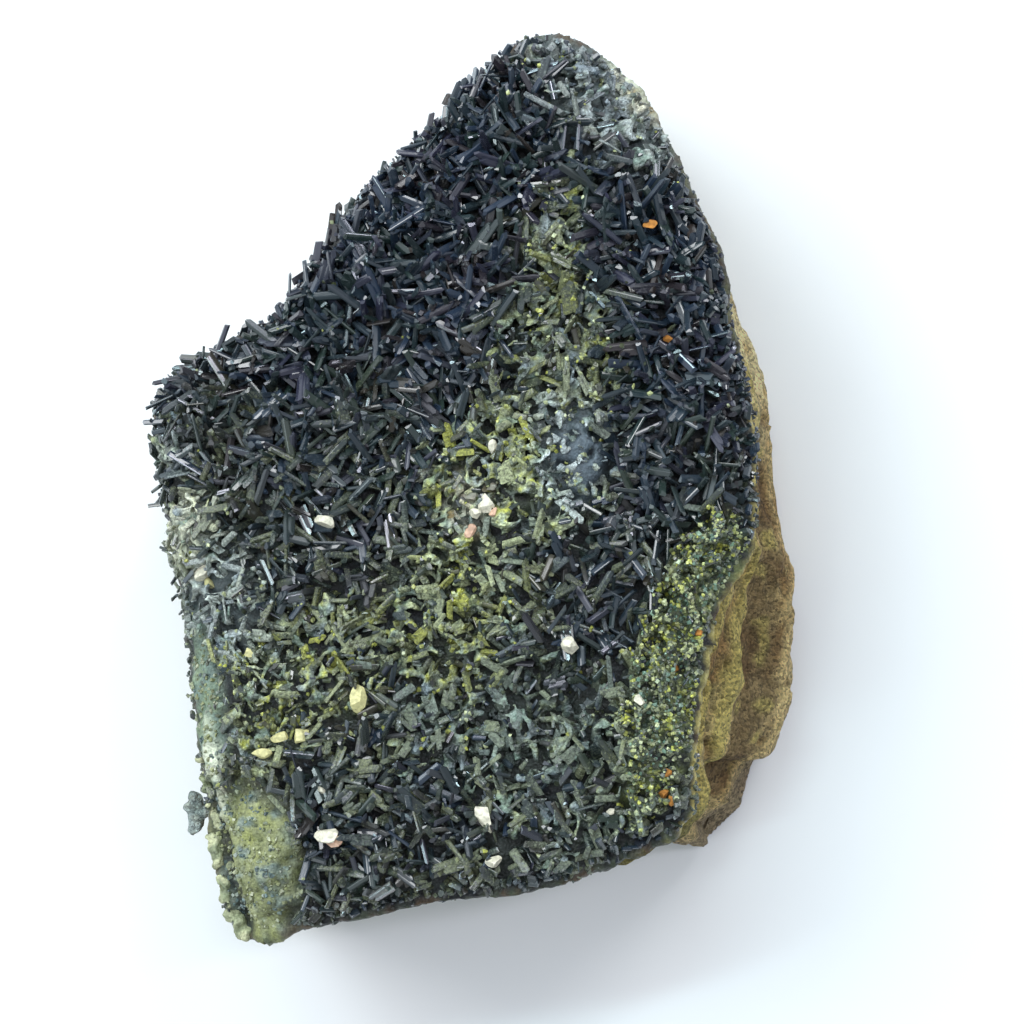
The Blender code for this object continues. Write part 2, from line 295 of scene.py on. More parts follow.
# name: kind, pixel, (half width, half length) in mm, turn in degrees to the left, strength
PATCHES = {
    "olive_point": ("olive", (562, 262), (6.5, 11.5), 0, 1.0),
    "olive_upper": ("olive", (566, 355), (9.5, 11.5), 0, 0.95),
    "olive_middle": ("olive", (495, 490), (10.5, 13.0), -22, 1.0),
    "olive_lower": ("olive", (450, 620), (10.5, 13.0), -20, 0.9),
    "olive_left": ("olive", (285, 695), (14.5, 9.5), 10, 1.0),
    "olive_between": ("olive", (345, 640), (9.0, 8.0), 0, 0.6),
    "grey_point": ("grey", (614, 98), (9.5, 17.0), 38, 1.0),
    "grey_middle": ("grey", (575, 455), (6.0, 9.5), 0, 1.0),
    "grey_left": ("grey", (225, 600), (8.5, 12.0), 10, 0.75),
    "grey_shoulder": ("grey", (192, 450), (4.0, 5.0), 0, 0.55),
    "smooth_low": ("smooth", (520, 730), (18.0, 9.0), 0, 0.95),
    "smooth_bottom": ("smooth", (560, 830), (14.0, 6.0), 12, 0.5),
    "granules_right": ("granular", (668, 690), (5.5, 19.0), -10, 1.0),
    "granules_upper": ("granular", (712, 565), (5.0, 8.0), -25, 1.0),
    "plateau": ("plateau", (583, 462), (3.8, 6.5), 0, 1.0),
    "cream_net": ("cream", (472, 508), (4.2, 4.4), -20, 1.0),
    "cream_point": ("cream", (634, 80), (2.6, 8.5), 40, 1.0),
    "massive_corner": ("massive", (258, 858), (7.0, 13.0), 8, 1.0),
    "left_strip": ("strip", (191, 705), (2.8, 13.0), 8, 1.0),
    "pale_left": ("pale", (200, 535), (4.4, 6.5), 0, 1.0),
    "pale_lower_left": ("pale", (206, 772), (1.5, 7.0), 10, 1.0),
    "rubble": ("rubble", (218, 872), (1.7, 12.5), 12, 1.0),
}
BARE = ("massive", "rubble", "strip", "plateau")  # the kinds that few laths grow on
FELTED = ("olive", "grey", "smooth", "pale")  # the kinds where felt covers the laths


def share_of(kind, points):
    """How much of a point, from 0 to 1, belongs to the patches of a kind."""
    fray = 0.30 * ripples(points, 7.0, 3.1) + 0.26 * ripples(points, 2.4, 9.7)
    most = np.zeros(len(points))
    for kind_here, pixel, (half_wide, half_long), turn, strength in PATCHES.values():
        if kind_here != kind:
            continue
        away = points[:, :2] - under_pixel(pixel)[:2]
        angle = math.radians(turn)
        wide = away[:, 0] * math.cos(angle) + away[:, 1] * math.sin(angle)
        long = away[:, 1] * math.cos(angle) - away[:, 0] * math.sin(angle)
        reach = np.hypot(wide / half_wide, long / half_long)
        most = np.maximum(most, strength * (1 - rise(0.6, 1.4, reach + fray)))
    return most


def most_of(kinds, points):
    """The greatest share that any of these kinds has at each point."""
    return np.maximum.reduce([share_of(kind, points) for kind in kinds])


SHOULDER_PIXEL, SHOULDER_SPREAD = (152, 400), 11.0  # where the left shoulder is, and how far it goes, in mm
SHOULDER_REACH, POINT_REACH = 1.8, 1.1  # how far the crust reaches out past the block there, in mm


def near_shoulder(points):
    """How far the crust reaches out past the block at the left shoulder, in mm."""
    away = points[:, :2] - under_pixel(SHOULDER_PIXEL)[:2]
    return SHOULDER_REACH * np.exp(-(away**2).sum(1) / SHOULDER_SPREAD**2)


def reach_out(points):
    """How far the crust reaches out past the block at the shoulder and at the point, in mm."""
    return near_shoulder(points) + POINT_REACH * rise(66, 75, points[:, 1])


for patch_name, (_, pixel, _, _, _) in PATCHES.items():
    print(patch_name, under_pixel(pixel).round(1))

# %% [markdown]
# ## Adding nodes
# A material is a tree of nodes. One small function adds any node, sets what it is told, and links or fills its
# inputs, so each material below reads as a list of what it is made of. Patterns read the place in millimetres,
# so a pattern's scale says how many of its cells lie side by side in one.

# %% A function that adds a node


def add_node(tree, kind, inputs=(), **settings):
    """Adds a node. An input is given by name or number: a value, an output, or a node, for its first output."""
    made = tree.nodes.new("ShaderNode" + kind)
    for name, value in settings.items():
        setattr(made, name, value)
    for name, value in dict(inputs).items():
        if isinstance(value, bpy.types.Node):
            value = value.outputs[0]
        if isinstance(value, bpy.types.NodeSocket):
            tree.links.new(value, made.inputs[name])
        else:
            made.inputs[name].default_value = value
    return made


def new_material(name):
    """An empty material, and the function that adds a node to it."""
    material = bpy.data.materials.new(name)
    material.use_nodes = True
    material.node_tree.nodes.clear()
    return material, partial(add_node, material.node_tree)


def in_mm(add):
    """The place on the piece, in mm, as a vector for patterns."""
    place = add("TexCoord")
    return add("VectorMath", {0: place.outputs["Object"], 1: (1000, 1000, 1000)}, operation="MULTIPLY")


def finish_surface(add, surface):
    """Links the shader to the material's output."""
    add("OutputMaterial", {"Surface": surface})


# %% [markdown]
# ## Limonite-stained skarn
# Skarn is a grainy rock of garnet, quartz and epidote. Weathering stains it with limonite, a yellow-brown rust.
# Broken, it looks like damp brown sugar: matt, with grains of about half a millimetre, and each grain a little
# lighter or darker than the next. The broad colours come with the mesh, and the grain is drawn here.

# %% Make the rock's material
skarn, add = new_material("limonite_stained_skarn")
spot = in_mm(add)
stain = add("Attribute", attribute_name="stain")
sugar = add("TexVoronoi", {"Vector": spot, "Scale": 2.3}, feature="F1")
sugar_tone = add("SeparateColor", {0: sugar.outputs["Color"]})
dust = add("TexNoise", {"Vector": spot, "Scale": 1.3, "Detail": 5.0, "Roughness": 0.7})
tone = add("Math", {0: sugar_tone, 1: dust}, operation="ADD")
lightness = add(
    "MapRange", {"Value": tone, "From Min": 0.45, "From Max": 1.55, "To Min": 0.45, "To Max": 1.75}
)
grained = add("VectorMath", {0: stain, "Scale": lightness}, operation="SCALE")
pitted = add("MapRange", {"Value": dust, "From Min": 0.3, "From Max": 0.7, "To Min": 0.9, "To Max": -0.9})
height = add("Math", {0: sugar, 1: pitted}, operation="ADD")
relief = add("Bump", {"Height": height, "Strength": 1.0, "Distance": 0.0009}, invert=True)
surface = add("BsdfPrincipled", {
    "Base Color": grained, "Roughness": 0.88, "IOR": 1.55, "Specular IOR Level": 0.35, "Normal": relief,
})
finish_surface(add, surface)

# %% [markdown]
# ## The rock's surface
# The CAD block is closed but coarse. We draw it again with even faces and push its sides in and out: broad
# lumps, level ledges where layers broke off, a few grooves that follow the rim, pits, and a sugary grain. The
# flat back stays flat, and the part under the crust stays where it is, so that nothing pokes through.

# %% Draw the rock again with even faces
ROCK_VOXEL = 0.74  # in mm


def as_mesh(shape, name):
    """Turns a bmesh into a mesh, and frees it."""
    mesh = bpy.data.meshes.new(name)
    shape.to_mesh(mesh)
    shape.free()
    return mesh


def surface_tree(mesh, points):
    """A tree of the mesh's faces, with its points given in mm, for finding what is near or below a place."""
    return BVHTree.FromPolygons([tuple(p) for p in points], [tuple(f.vertices) for f in mesh.polygons])


rock = remeshed(as_mesh(merged("host_rock"), "rock"), ROCK_VOXEL)
rock_points, rock_facing = places(rock), facings(rock)
print("rock points", len(rock_points))

# %% Push the flanks in and out
depth = rim_height(rock_points) - rock_points[:, 2]
warped = depth + 3.2 * ripples(rock_points, 16.0) + 1.8 * ripples(rock_points, 5.0, 4.0)
layered = np.column_stack([rock_points[:, :2], warped])
right = rise(0.1, 0.6, rock_facing[:, 0])
left_low = rise(0.0, 0.5, -rock_facing[:, 0]) * rise(10, -15, -rock_points[:, 1])
bands = np.interp(warped, (0, 2, 6, 10, 16, 22, 29, 40), (0.2, 0.8, -1.3, 0.9, -1.5, 1.0, -0.4, 0.0))
pits = rise(0.3, 0.7, ripples(rock_points, 3.0, 7.0))
chunks = np.abs(ripples(rock_points, 5.5, 2.0))
push = 1.1 * ripples(rock_points, 12.0, 1.0) + 0.8 * ripples(layered, (28.0, 28.0, 3.6))
push += 0.5 * ripples(layered, (13.0, 13.0, 1.8), 5.0) + 0.5 * ripples(rock_points, 2.6, 8.0)
push += 0.35 * ripples(rock_points, 1.5, 6.0) + right * bands - 1.1 * pits
push += left_low * (1.6 * rise(0.0, 0.35, chunks) - 1.0)
# The lower right lump ends in a step, and the upper flank lies a little further in.
along = rock_points[:, 1]
below_rim = right * rise(3, 10, depth)
push += below_rim * (0.9 * rise(-47, -45, along) * (1 - rise(-35, -25, along)))
push -= below_rim * (2.6 * (1 - rise(-48, -46, along)) * rise(-66, -58, along))
push -= below_rim * 1.3 * (1 - rise(0, 12, along))
push -= right * (1.4 * np.exp(-(((along - 6) / 16) ** 2)) + 2.6 * rise(22, 36, along))
# The flat back and what lies under the crust stay in place.
free = rise(0.5, 3.0, rock_points[:, 2]) * rise(0.2, 1.6, depth)
free *= 1 - rise(-1.5, 0.5, inside_rim(rock_points)) * rise(0.3, 0.8, rock_facing[:, 2])
rock_moved = rock_points + rock_facing * (push * free)[:, None]
# The near side is broken back under the rim.
tucked = (1 - rise(-58, -34, along)) * (1 - rise(27, 38, rock_points[:, 0])) * np.clip(depth, 0, None)
rock_moved[:, 1] += 0.125 * tucked
flat_back = rock_points[:, 2] < 0.3
rock_moved[flat_back, 2] = rock_points[:, 2].min()
move_to(rock, rock_moved)
rock_near = surface_tree(rock, rock_moved)
print("rock push", push.min().round(2), push.max().round(2))

# %% Colour the rock
BROWN, TAN, YELLOW_GREEN = linear("#a3814f"), linear("#e0c68a"), linear("#d0bf6e")
GROOVE_GREEN, GREY, UMBER = linear("#636230"), linear("#a09078"), linear("#614a30")
PALE_GREEN, CREAM_TAN = linear("#a9ad8c"), linear("#f3e2ae")


def strip(start, end, fade=1.0):
    """1 at depths below the rim between start and end, on the right."""
    return right * rise(start - fade, start + fade, warped) * (1 - rise(end - fade, end + fade, warped))


wide = ripples(rock_points, 11.0, 12.0)
fine = ripples(rock_points, 3.0, 15.0)
# The upper part of the right flank is painted paler, in yellow-green and cream: partly the rock's stain, partly
# painted light where the light falls more fully.
upper_flank_stain_and_light = right * rise(-4, 24, along) * (1 - 0.6 * rise(42, 52, along))
# The near side just under the rim is painted dark olive green: partly the rock's greenish colour, partly painted
# shade under the crust's edge.
near_side_colour_and_shade = rise(0.1, 0.6, -rock_facing[:, 1]) * (1 - rise(-58, -46, along)) * (1 - rise(2, 9, depth))
colour = painted(
    blended(BROWN, TAN, rise(-0.35, 0.35, wide + 0.5 * fine)),
    (YELLOW_GREEN, np.clip(strip(-9, 2.5) + strip(8, 12), 0, 1) * 0.85),
    (GROOVE_GREEN, strip(3.5, 7.5) * rise(-0.3, 0.3, fine) * 0.8),
    (UMBER, strip(13, 20, 1.5) * 0.7),
    (YELLOW_GREEN, strip(13, 20) * rise(0.25, 0.5, fine) * 0.6),
    (TAN, strip(21, 27) * 0.7),
    (GREY, rise(-15, -45, along) * rise(20, 30, warped) * 0.75),
    (YELLOW_GREEN, upper_flank_stain_and_light * rise(0.0, 0.5, fine) * 0.7),
    (CREAM_TAN, upper_flank_stain_and_light * rise(-0.7, 0.0, wide + fine) * 0.8),
    (PALE_GREEN, left_low * rise(-0.2, 0.5, wide + fine) * 0.6),
    # painted shade: the pits, and the gaps between the chunks at the lower left, are painted dark umber
    (UMBER, np.clip(0.5 * pits + 0.35 * left_low * (1 - rise(0.05, 0.2, chunks)), 0, 1) * 0.75),
    (GROOVE_GREEN, near_side_colour_and_shade * 0.7),
)
keep_colours(rock, "stain", colour)
add_piece("rock_surface", rock, "host_rock", skarn, even=True)

# %% [markdown]
# ## The bed under the crystals
# The laths stand on a bed of massive, fine-grained epidote a few millimetres thick. We lift the sheet by the
# gap, extrude it into a slab, and draw it again with even faces to give it lumps and grains. It is painted nearly
# black where laths hide it, partly its own dark colour and partly painted shade for the gaps between them, and
# it shows its own colours where they are few.

# %% Make the slab
BED = 2.0  # its thickness, in mm
BED_VOXEL = 0.6  # in mm
bmesh.ops.translate(sheet, verts=sheet.verts[:], vec=(0, 0, GAP * MM))
raised = bmesh.ops.extrude_face_region(sheet, geom=sheet.faces[:], use_keep_orig=True)["geom"]
bmesh.ops.translate(sheet, verts=[v for v in raised if isinstance(v, bmesh.types.BMVert)], vec=(0, 0, BED * MM))
bmesh.ops.recalc_face_normals(sheet, faces=sheet.faces[:])
bed = remeshed(as_mesh(sheet, "slab"), BED_VOXEL)
bed_points, bed_facing = places(bed), facings(bed)
print("bed points", len(bed_points))

# %% Push its broken edge out a little
along = bed_points[:, 1]
sideways = np.hypot(bed_facing[:, 0], bed_facing[:, 1])
edge_out = rise(0.0, 0.7, sideways) * 0.35
edge_out += rise(0.3, 0.8, -bed_facing[:, 1]) * (1 - rise(-55, -45, along)) * 0.6
edge_out += rise(0.2, 0.7, bed_facing[:, 0]) * rise(10, 30, along) * 0.4
edge_out *= 1 + 0.8 * ripples(bed_points, 3.4, 55.0)
edge_out += reach_out(bed_points) * rise(0.0, 0.7, sideways)
edge_out += 0.32 * rise(0.3, 0.8, sideways) * ripples(bed_points, 1.2, 57.0)
print("edge pushed out by up to", edge_out.max().round(2), "mm")

# %% Give the bed its lumps and grains
massive, pale, granular = (share_of(kind, bed_points) for kind in ("massive", "pale", "granular"))
smooth, olive, grey = (share_of(kind, bed_points) for kind in ("smooth", "olive", "grey"))
rubble, plateau, sides = (share_of(kind, bed_points) for kind in ("rubble", "plateau", "strip"))
top = rise(-0.2, 0.5, bed_facing[:, 2])
lumps = 0.7 * ripples(bed_points, 6.0, 2.0) + 0.5 * ripples(bed_points, 2.6, 5.0)
grains = 0.3 * ripples(bed_points, 1.3, 8.0)
bed_push = lumps * (0.6 + 0.5 * massive) + grains * (1 + granular + 0.3 * massive)
holes = rise(0.12, 0.5, ripples(bed_points, 2.2, 45.0))
bed_push += 1.9 * massive + 1.8 * granular + 1.2 * pale + 0.6 * grey + 1.1 * sides
bed_push += plateau * (2.2 - 2.4 * holes) - 1.6 * rubble
rough = 0.6 * ripples(bed_points, 2.0, 47.0) + 0.5 * ripples(bed_points, 4.5, 48.0)
bed_push += (massive + sides) * (rough - 0.9 * rise(0.3, 0.65, ripples(bed_points, 1.7, 49.0)))
bed_moved = bed_points + bed_facing * (bed_push * top + edge_out)[:, None]
move_to(bed, bed_moved)
bed_near = surface_tree(bed, bed_moved)

# %% Colour the bed
BLACK_AND_SHADE, DEEP_GREEN, OLIVE = linear("#0c0f11"), linear("#252b22"), linear("#4b523b")
FELT_GREY, GRANULE, CORNER = linear("#5b6666"), linear("#5d6844"), linear("#7d8158")
CORNER_TEAL, EDGE_CREAM, MOSS = linear("#5c6d6c"), linear("#cdd0b8"), linear("#979a50")
PLATEAU_SLATE, STRIP_GREEN = linear("#566169"), linear("#72836f")
wide = ripples(bed_points, 6.5, 20.0)
middling = ripples(bed_points, 2.3, 21.0)
fine = ripples(bed_points, 1.8, 23.0)
near_rim = inside_rim(bed_points)
creamy = share_of("cream", bed_points)
tealed, mossed = np.clip(massive + 0.7 * sides, 0, 1), np.clip(massive + 0.6 * granular + 0.3 * sides, 0, 1)
broken = rise(0.3, 0.8, sideways) * (1 - rise(0.3, 1.5, near_rim))
right_rim = (1 - rise(0.3, 1.2, near_rim)) * rise(0.45, 0.85, bed_facing[:, 0])
# Towards the top the rim's yellow-green fades, so the bed's edge stays near-black there: painted shade under the
# crystals.
right_rim *= 1 - 0.9 * rise(2, 14, along)
# The near-black is partly the bed's own dark colour and partly painted shade: the gaps between the laths, the
# plateau's holes and the gaps under the rubble are painted near-black.
colour = painted(
    blended(BLACK_AND_SHADE, DEEP_GREEN, rise(-0.2, 0.6, wide + 0.5 * fine) * 0.35),
    (OLIVE, olive * rise(-0.5, 0.4, wide + fine) * 0.5),
    (DEEP_GREEN, smooth * 0.8),
    (FELT_GREY, grey * rise(-0.7, 0.1, fine) * 0.7),
    (GRANULE, granular * rise(-0.4, 0.4, fine + 0.5 * wide) * 0.8),
    (STRIP_GREEN, sides * 0.9),
    (PLATEAU_SLATE, plateau * 0.95),
    # painted shade: the plateau's holes are painted near-black
    (BLACK_AND_SHADE, plateau * holes * 0.9),
    (CORNER, massive * 0.95),
    (CORNER_TEAL, tealed * rise(0.0, 0.35, middling + 0.6 * wide) * 0.85),
    (MOSS, mossed * rise(0.1, 0.5, fine - 0.8 * middling) * 0.4),
    (EDGE_CREAM, massive * rise(0.15, 0.6, fine + 0.5 * middling) * 0.2),
    (EDGE_CREAM, pale * rise(-0.6, 0.1, fine) * 0.9),
    (EDGE_CREAM, creamy * rise(-0.5, 0.1, fine) * 0.9),
    (TAN, creamy * rise(0.1, 0.4, middling) * 0.8),
    # painted shade: the bed under the rubble is painted near-black, for the gaps between its chunks
    (BLACK_AND_SHADE, rubble * 0.85),
    (OLIVE, broken * rise(-0.3, 0.4, fine + middling) * 0.6),
    (UMBER, broken * rise(0.0, 0.5, wide - fine) * 0.5),
    (YELLOW_GREEN, right_rim * rise(-0.5, 0.2, fine) * 0.75),
)
keep_colours(bed, "stain", colour)

# %% [markdown]
# ## Massive epidote
# Epidote without crystal faces is a tough, fine-grained mass, from black-green to pistachio. Its broken surface
# has a slight oily shine, so it is less rough than the rock, with grains of just under half a millimetre.

# %% Make the bed's material and its piece
massive_epidote, add = new_material("massive_epidote")
spot = in_mm(add)
stain = add("Attribute", attribute_name="stain")
speck = add("TexNoise", {"Vector": spot, "Scale": 1.5, "Detail": 5.0, "Roughness": 0.72})
crystal = add("TexVoronoi", {"Vector": spot, "Scale": 2.2}, feature="F1")
lightness = add(
    "MapRange", {"Value": speck, "From Min": 0.32, "From Max": 0.68, "To Min": 0.45, "To Max": 1.5}
)
grained = add("VectorMath", {0: stain, "Scale": lightness}, operation="SCALE")
gloss = add("MapRange", {"Value": crystal, "To Min": 0.35, "To Max": 0.75})
height = add("Math", {0: crystal, 1: speck}, operation="ADD")
relief = add("Bump", {"Height": height, "Strength": 0.5, "Distance": 0.0003})
surface = add("BsdfPrincipled", {
    "Base Color": grained, "Roughness": gloss, "IOR": 1.7, "Specular IOR Level": 0.3, "Normal": relief,
})
finish_surface(add, surface)
add_piece("druse_bed", bed, "epidote_druse", massive_epidote, even=True)

# %% [markdown]
# ## One lath
# An epidote lath is a flattened prism, four to seven times as long as it is wide, with fine grooves along it and
# a slanting end. We make a few of them with the usual tools: an uneven flattened ring is extruded, and planes
# cut the ends off at a slant. The ring's corners are unevenly spaced, so that narrow sides lie between broad
# ones and flash on their own. Some laths are two grown side by side. Each has only a few dozen faces, because
# there will be thousands.

# %% Make the lath shapes
LATH_LENGTH = 5.0  # of a shape, in its own widths
EDGE_WIDTH = 0.06  # of the narrow face along each edge, in its own widths


def cut_off(shape, place, facing):
    """Cuts off what lies on the side of a plane that it faces, and closes the cut."""
    geom = shape.verts[:] + shape.edges[:] + shape.faces[:]
    cut = bmesh.ops.bisect_plane(shape, geom=geom, plane_co=place, plane_no=facing, clear_outer=True)
    bmesh.ops.edgeloop_fill(shape, edges=[e for e in cut["geom_cut"] if isinstance(e, bmesh.types.BMEdge)])


def lath(corners, flatness, start, end, aside, slants):
    """One lath along Z: its ends, how far it stands to one side, and the slants that its ends are cut at."""
    shape = bmesh.new()
    ring = bmesh.ops.create_circle(shape, cap_ends=True, segments=corners, radius=0.5)["verts"]
    for v in ring:
        turned = v.co.to_2d()
        turned.rotate(Matrix.Rotation(math.radians(draw.uniform(-16, 16)), 2))
        uneven = 1 + draw.uniform(-0.12, 0.08)
        v.co = (turned.x * uneven + aside[0], turned.y * flatness * uneven + aside[1], start)
    risen = bmesh.ops.extrude_face_region(shape, geom=shape.faces[:], use_keep_orig=True)["geom"]
    far = [v for v in risen if isinstance(v, bmesh.types.BMVert)]
    bmesh.ops.translate(shape, verts=far, vec=(0, 0, end - start))
    bmesh.ops.scale(shape, verts=far, vec=(0.88, 0.88, 1))
    long_edges = [e for e in shape.edges if abs(e.verts[0].co.z - e.verts[1].co.z) > 0.5 * (end - start)]
    bmesh.ops.bevel(
        shape, geom=long_edges, offset=EDGE_WIDTH, affect="EDGES", segments=1, profile=0.5, material=-1
    )
    for (tilt, turn), z, outwards in slants:
        slant, about = math.radians(tilt), math.radians(turn)
        facing = Vector((math.sin(slant) * math.cos(about), math.sin(slant) * math.sin(about), math.cos(slant)))
        facing.z *= outwards
        cut_off(shape, (aside[0], aside[1], z), facing)
    return shape_arrays(shape)


def shape_arrays(shape):
    """The shape's points and triangles as arrays, turned to face outwards."""
    bmesh.ops.recalc_face_normals(shape, faces=shape.faces[:])
    bmesh.ops.triangulate(shape, faces=shape.faces[:])
    shape.verts.index_update()
    points = np.array([v.co for v in shape.verts])
    triangles = np.array([[v.index for v in f.verts] for f in shape.faces])
    shape.free()
    return points, triangles


def slanted_ends(start, end):
    """Three cuts: two that meet at the far end, and one at the near end."""
    turn = draw.uniform(0, 360)
    first = ((draw.uniform(38, 62), turn), end * 0.93, 1)
    second = ((draw.uniform(30, 58), turn + draw.uniform(130, 210)), end * 0.95, 1)
    near = ((draw.uniform(25, 55), draw.uniform(0, 360)), start + 0.4, -1)
    return first, second, near


LATH_KINDS = (
    # corners, flatness, a second one beside it
    (6, 0.60, False), (6, 0.80, False), (7, 0.50, False), (5, 0.90, False),
    (6, 0.50, True), (7, 0.70, False), (5, 0.75, True), (6, 0.55, False),
)
lath_shapes = []
for corners, flatness, twin in LATH_KINDS:
    points, triangles = lath(corners, flatness, 0.0, LATH_LENGTH, (0, 0), slanted_ends(0.0, LATH_LENGTH))
    if twin:
        end = LATH_LENGTH * draw.uniform(0.65, 0.85)
        more_points, more_triangles = lath(corners, flatness, 0.2, end, (0.55, 0.12), slanted_ends(0.2, end))
        triangles = np.concatenate([triangles, more_triangles + len(points)])
        points = np.concatenate([points, more_points])
    lath_shapes.append((points, triangles))
print("lath shapes, triangles:", [len(triangles) for _, triangles in lath_shapes])

# %% [markdown]
# ## Growing many at once
# A list of crystals holds the root, the direction, the flat side and the size of each. NumPy copies a shape to
# all of its places in one step. Two layers go with the points: where each lies along its own lath, in
# millimetres, so that grooves run along it, and its coat, a colour and an amount.

# %% Grow crystals from their list


def unit(vectors):
    """The vectors, each made one long."""
    return vectors / np.maximum(np.linalg.norm(vectors, axis=1, keepdims=True), 1e-9)


def joined(shapes, crystals, unit_length):
    """A mesh with one of the shapes for each row of the list, and its layers."""
    points, triangles, grain, coats, amounts, tints = [], [], [], [], [], []
    count = 0
    kinds = np.arange(len(crystals["root"])) % len(shapes)
    for kind, (shape_points, shape_triangles) in enumerate(shapes):
        mine = np.flatnonzero(kinds == kind)
        wide, thick = crystals["width"][mine], crystals["thickness"][mine]
        size = np.column_stack([wide, thick, crystals["length"][mine] / unit_length])
        local = shape_points[None] * size[:, None]
        axis, flat = crystals["axis"][mine], crystals["flat"][mine]
        across = np.cross(flat, axis)
        turned = local[..., :1] * across[:, None] + local[..., 1:2] * flat[:, None] + local[..., 2:] * axis[:, None]
        points.append((turned + crystals["root"][mine][:, None]).reshape(-1, 3))
        offsets = count + np.arange(len(mine)) * len(shape_points)
        triangles.append((shape_triangles[None] + offsets[:, None, None]).reshape(-1, 3))
        grain.append((local + (mine * 7.3)[:, None, None]).reshape(-1, 3))
        coats.append(np.repeat(crystals["coat"][mine], len(shape_points), 0))
        thinning = 1.2 - 0.5 * shape_points[:, 2] / unit_length  # the coat is thinner towards the tip
        amounts.append(np.clip(crystals["amount"][mine][:, None] * thinning, 0, 1).ravel())
        tints.append(np.repeat(crystals["tint"][mine], len(shape_points)))
        count += len(mine) * len(shape_points)
    mesh = bpy.data.meshes.new("joined")
    mesh.from_pydata(np.concatenate(points) * MM, [], np.concatenate(triangles))
    layer = mesh.attributes.new("grain", "FLOAT_VECTOR", "POINT")
    layer.data.foreach_set("vector", np.concatenate(grain).astype(np.float32).ravel())
    layer = mesh.attributes.new("tint", "FLOAT", "POINT")
    layer.data.foreach_set("value", np.concatenate(tints).astype(np.float32))
    keep_colours(mesh, "coat", np.concatenate(coats), np.concatenate(amounts))
    return mesh


def grow(name, shapes, crystals, material, unit_length):
    """One piece with a crystal for each row of the list."""
    return add_piece(name, joined(shapes, crystals, unit_length), "epidote_druse", material)


# %% [markdown]
# ## Sowing the face
# Crystals crowd each other, so they stand about evenly and not in clumps: a honeycomb of places, each one moved
# a little, with some left out by chance. Rays cast down find the bed under each. A lath that would reach past the
# rim is turned another way, and one that still does is left out.

# %% Sow points over the face
HALF_WIDE, HALF_LONG = 58, 80  # of the level field that is sown, in mm
ROW_STEP, STRAY = 0.866, 0.42  # between a honeycomb's rows, and how far a place is moved, in spacings
ABOVE, DOWN = 90, Vector((0, 0, -1))  # a height over everything, in mm, and the way that rays are cast


def sow(spacing, keep_share):
    """Points on the bed about that far apart, and the way that the face looks there."""
    rows = np.arange(-HALF_LONG, HALF_LONG, spacing * ROW_STEP)
    columns = np.arange(-HALF_WIDE, HALF_WIDE, spacing)
    x, y = np.meshgrid(columns, rows)
    x = x + (np.arange(len(rows)) % 2)[:, None] * spacing / 2
    spots = np.column_stack([x.ravel(), y.ravel(), np.zeros(x.size)])
    spots[:, :2] += draw.uniform(-STRAY, STRAY, (len(spots), 2)) * spacing
    spots = spots[inside_rim(spots) > 0.2]
    spots = spots[draw.uniform(0, 1, len(spots)) < keep_share(spots)]
    roots, ways = [], []
    for x, y, _ in spots:
        root = bed_near.ray_cast(Vector((x, y, ABOVE)), DOWN)[0]
        way = sheet_near.ray_cast(Vector((x, y, ABOVE)) * MM, DOWN)[1]
        if root is None or way is None:
            continue
        roots.append(root)
        ways.append(way if way.z > 0 else -way)
    return np.array(roots), np.array(ways)


RIM_REACH = 0.5  # a tip reaches no further than this past the rim, in mm
TRIES = 8  # of turning a lath that reaches too far
TIP_MARGIN, SEEN_LIFT = 1.25, 2.5  # the reach that is tested, in lengths, and the lift in mm that the view adds


